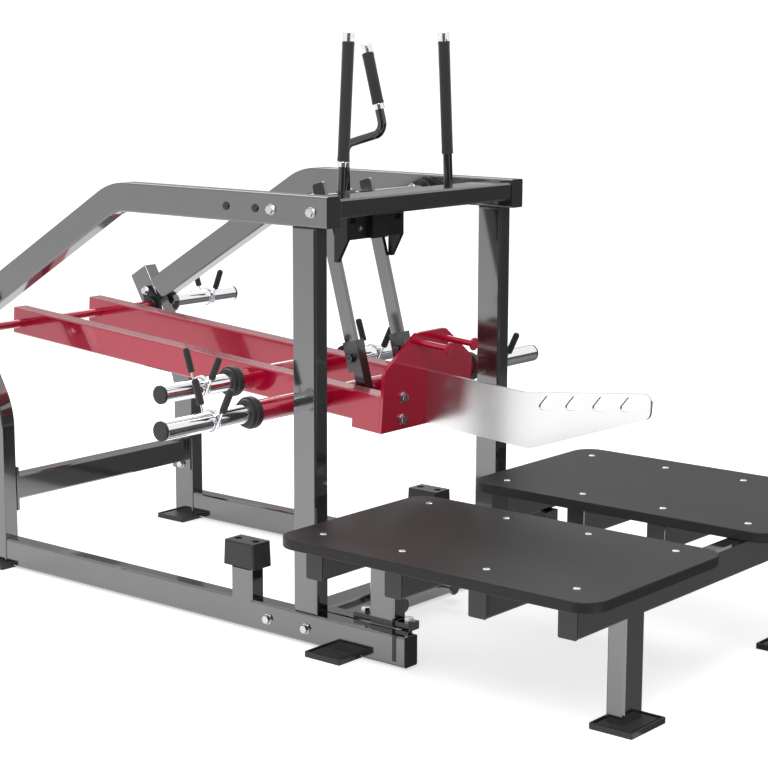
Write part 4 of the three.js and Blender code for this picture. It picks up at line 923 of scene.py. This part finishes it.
print("Helper ready: rounded_path. Steps in an arc:", ARC_STEPS)

# %% [markdown]
# A hub holds the handle on the rack's shaft, and foam covers its upper end between a
# chromed ring and a tip. Hub, ring and tip are turned parts in the bar's own mesh, because
# they never come apart. The foam is a piece of its own, since it has a slot of its own.

# %% Release handle
STEM_FORWARD, STEM_LEAN, SHOULDER_Z, STEM_TOP = 0.175, 0.035, 0.136, 0.371
STEM_RADIUS, STEM_BEND, STEM_ROUNDNESS = 0.012, 0.030, 10
HUB_EDGE = 0.0175
HUB = [(0.0128, -0.023), (0.0195, -0.023), (0.021, -0.0215), (0.021, 0.0215),
       (0.0195, 0.023), (0.0128, 0.023), (0.0128, -0.023)]
RELEASE_GRIP, RELEASE_BORE = (0.212, 0.348), 0.0123
COLLAR_RADIUS, COLLAR_LENGTH, COLLAR_Z = 0.015, 0.0156, 0.196
RELEASE_TIP_LENGTH, RELEASE_TIP_Z = 0.0247, 0.3483

shoulder = Vector((0, -STEM_LEAN, SHOULDER_Z))
stem_foot = Vector((0, -STEM_FORWARD, 0))
stem_points = [shoulder.normalized() * HUB_EDGE, shoulder, stem_foot + UP * SHOULDER_Z,
               stem_foot + UP * STEM_TOP]
stem = tube_along("release_path", rounded_path(stem_points, STEM_BEND), STEM_RADIUS,
                  STEM_ROUNDNESS)
spun(stem, HUB, Vector((0, 0, 0)), Vector((1, 0, 0)))
spun(stem, round_end(COLLAR_RADIUS, COLLAR_LENGTH), stem_foot + UP * COLLAR_Z, UP,
     finish_index=1)
spun(stem, tip_profile(TIP_RADIUS, RELEASE_TIP_LENGTH), stem_foot + UP * RELEASE_TIP_Z, UP,
     finish_index=1)
place_on(stem, ON_RACK)
make("release_stem", stem, "rack", [handle_paint, chrome], ["release_handle"])
bm = bmesh.new()
sleeve = sleeve_profile(RELEASE_BORE, FOAM_RADIUS, RELEASE_GRIP[1] - RELEASE_GRIP[0])
spun(bm, sleeve, stem_foot + UP * RELEASE_GRIP[0], UP)
place_on(bm, ON_RACK)
make("release_foam", bm, "rack", [foam], ["release_grip"])

# %% [markdown]
# The photograph's background is pure white. Stronger lamps could burn the floor out, but
# they would burn the machine out with it. So floor and sky are bright only to rays that
# come from the camera or from a mirror, and everything else sees a plain level.


# %% Helpers for the stage
def pale(tree, base, lit):
    """A bright level to the camera and to mirrors, a plain level to everything else."""
    seen = tree.nodes.new("ShaderNodeLightPath")
    either = tree.nodes.new("ShaderNodeMath")
    either.operation = "MAXIMUM"
    tree.links.new(seen.outputs["Is Camera Ray"], either.inputs[0])
    tree.links.new(seen.outputs["Is Glossy Ray"], either.inputs[1])
    level_of = tree.nodes.new("ShaderNodeMapRange")
    level_of.inputs["To Min"].default_value = base
    level_of.inputs["To Max"].default_value = lit
    tree.links.new(either.outputs["Value"], level_of.inputs["Value"])
    return level_of.outputs["Result"]


def sheet(name, material, wide, high, where):
    """A flat stage piece of one face, outside the machine."""
    bm = bmesh.new()
    bmesh.ops.create_grid(bm, x_segments=1, y_segments=1, size=1)
    bmesh.ops.scale(bm, vec=(wide / 2, high / 2, 1), verts=bm.verts)
    place_on(bm, where)
    mesh = bpy.data.meshes.new(name)
    bm.to_mesh(mesh)
    bm.free()
    mesh.materials.append(material)
    made = linked(name, mesh)
    return made


print("Helpers ready: pale, sheet")

# %% [markdown]
# The studio is a pale, matt floor that catches soft shadows, and a white sky. The floor
# could be a curved sweep, but no edge of it shows when it is this large and this bright.

# %% Floor and sky
FLOOR_HALF, FLOOR_GLOW, SKY_PLAIN, SKY_GLOW = 60, 0.6, 0.62, 1.0
WHITE = (1, 1, 1, 1)

floor_material, floor_tree, floor_shader = principled("pale floor", {
    "Base Color": (0.86, 0.86, 0.86, 1), "Roughness": 0.9, "Specular IOR Level": 0.1,
    "Emission Color": WHITE,
})
floor_glow = pale(floor_tree, 0.0, FLOOR_GLOW)
floor_tree.links.new(floor_glow, floor_shader.inputs["Emission Strength"])
sheet("floor", floor_material, 2 * FLOOR_HALF, 2 * FLOOR_HALF, ON_FRAME)

sky = bpy.data.worlds.new("studio")
sky.use_nodes = True
backdrop = sky.node_tree.nodes["Background"]
backdrop.inputs["Color"].default_value = WHITE
sky_glow = pale(sky.node_tree, SKY_PLAIN, SKY_GLOW)
sky.node_tree.links.new(sky_glow, backdrop.inputs["Strength"])
bpy.context.scene.world = sky
print("Floor half width:", FLOOR_HALF, "m")

# %% [markdown]
# A product photographer lights with large soft lamps: a key above the camera's left, and a
# weaker fill behind the machine. A sun lamp would be simpler, but its shadows are hard, and
# the photograph's are hardly there. Area lamps give soft ones.

# %% Lamps
TARGET = (0, -0.1, 0.6)


def aimed(place, target, front):
    """The matrix of something at a place that turns its front axis to a target."""
    aim = (Vector(target) - Vector(place)).to_track_quat(front, "Y")
    return Matrix.Translation(place) @ aim.to_matrix().to_4x4()


def lamp(name, place, size, power):
    light = bpy.data.lights.new(name, "AREA")
    light.energy = power
    light.size = size
    light.shape = "SQUARE"
    linked(name, light).matrix_world = aimed(place, TARGET, "-Z")


# Name, place, size and power.
lamp("key", (-3.6, -2.4, 4.2), 2.6, 185)
lamp("fill", (2.8, 3.4, 3.6), 3.0, 70)
print("Lamps:", len(bpy.data.lights))

# %% [markdown]
# Glossy paint shows what stands round it, and in the photograph its front faces and tops
# mirror something dark. Darker paint would darken the side faces as well. So six grey
# cards stand where those mirrors look, as in a real studio: neither the camera nor the
# diffuse light sees them.

# %% Cards for the mirrors
CARD_LIFT = 0.002
CAMERA_CARD, BACK_CARD = (-2.7, -2.45, 1.5), (5.3, 4.3, 1.95)


def card(name, place, target, wide, high, glow):
    material, _, _ = principled(name, {
        "Base Color": (0, 0, 0, 1), "Specular IOR Level": 0, "Emission Color": WHITE,
        "Emission Strength": glow,
    })
    made = sheet(name, material, wide, high, aimed(place, target, "Z"))
    made.visible_camera = False
    made.visible_diffuse = False
    made.visible_shadow = False


def floor_card(name, x, y, wide, high, glow):
    card(name, (x, y, CARD_LIFT), (x, y, 1), wide, high, glow)


# Name, place, what a standing card faces, width, height and glow.
card("front_card", (2.6, -2.9, 0.6), (0, -0.4, 0.6), 8.0, 1.2, 0.10)
floor_card("floor_card", 2.74, -3.45, 6.3, 6.2, 0.22)
floor_card("side_card", 3.165, 0.275, 5.47, 1.25, 0.16)
card("camera_card", CAMERA_CARD, (0, -0.1, CAMERA_CARD[2]), 4.4, 3.6, 0.12)
floor_card("near_card", -2.2, -2.2, 2.4, 2.4, 0.12)
card("back_card", BACK_CARD, (0, 0, BACK_CARD[2]), 9.0, 2.2, 0.4)
print("Lamps and cards are in place")
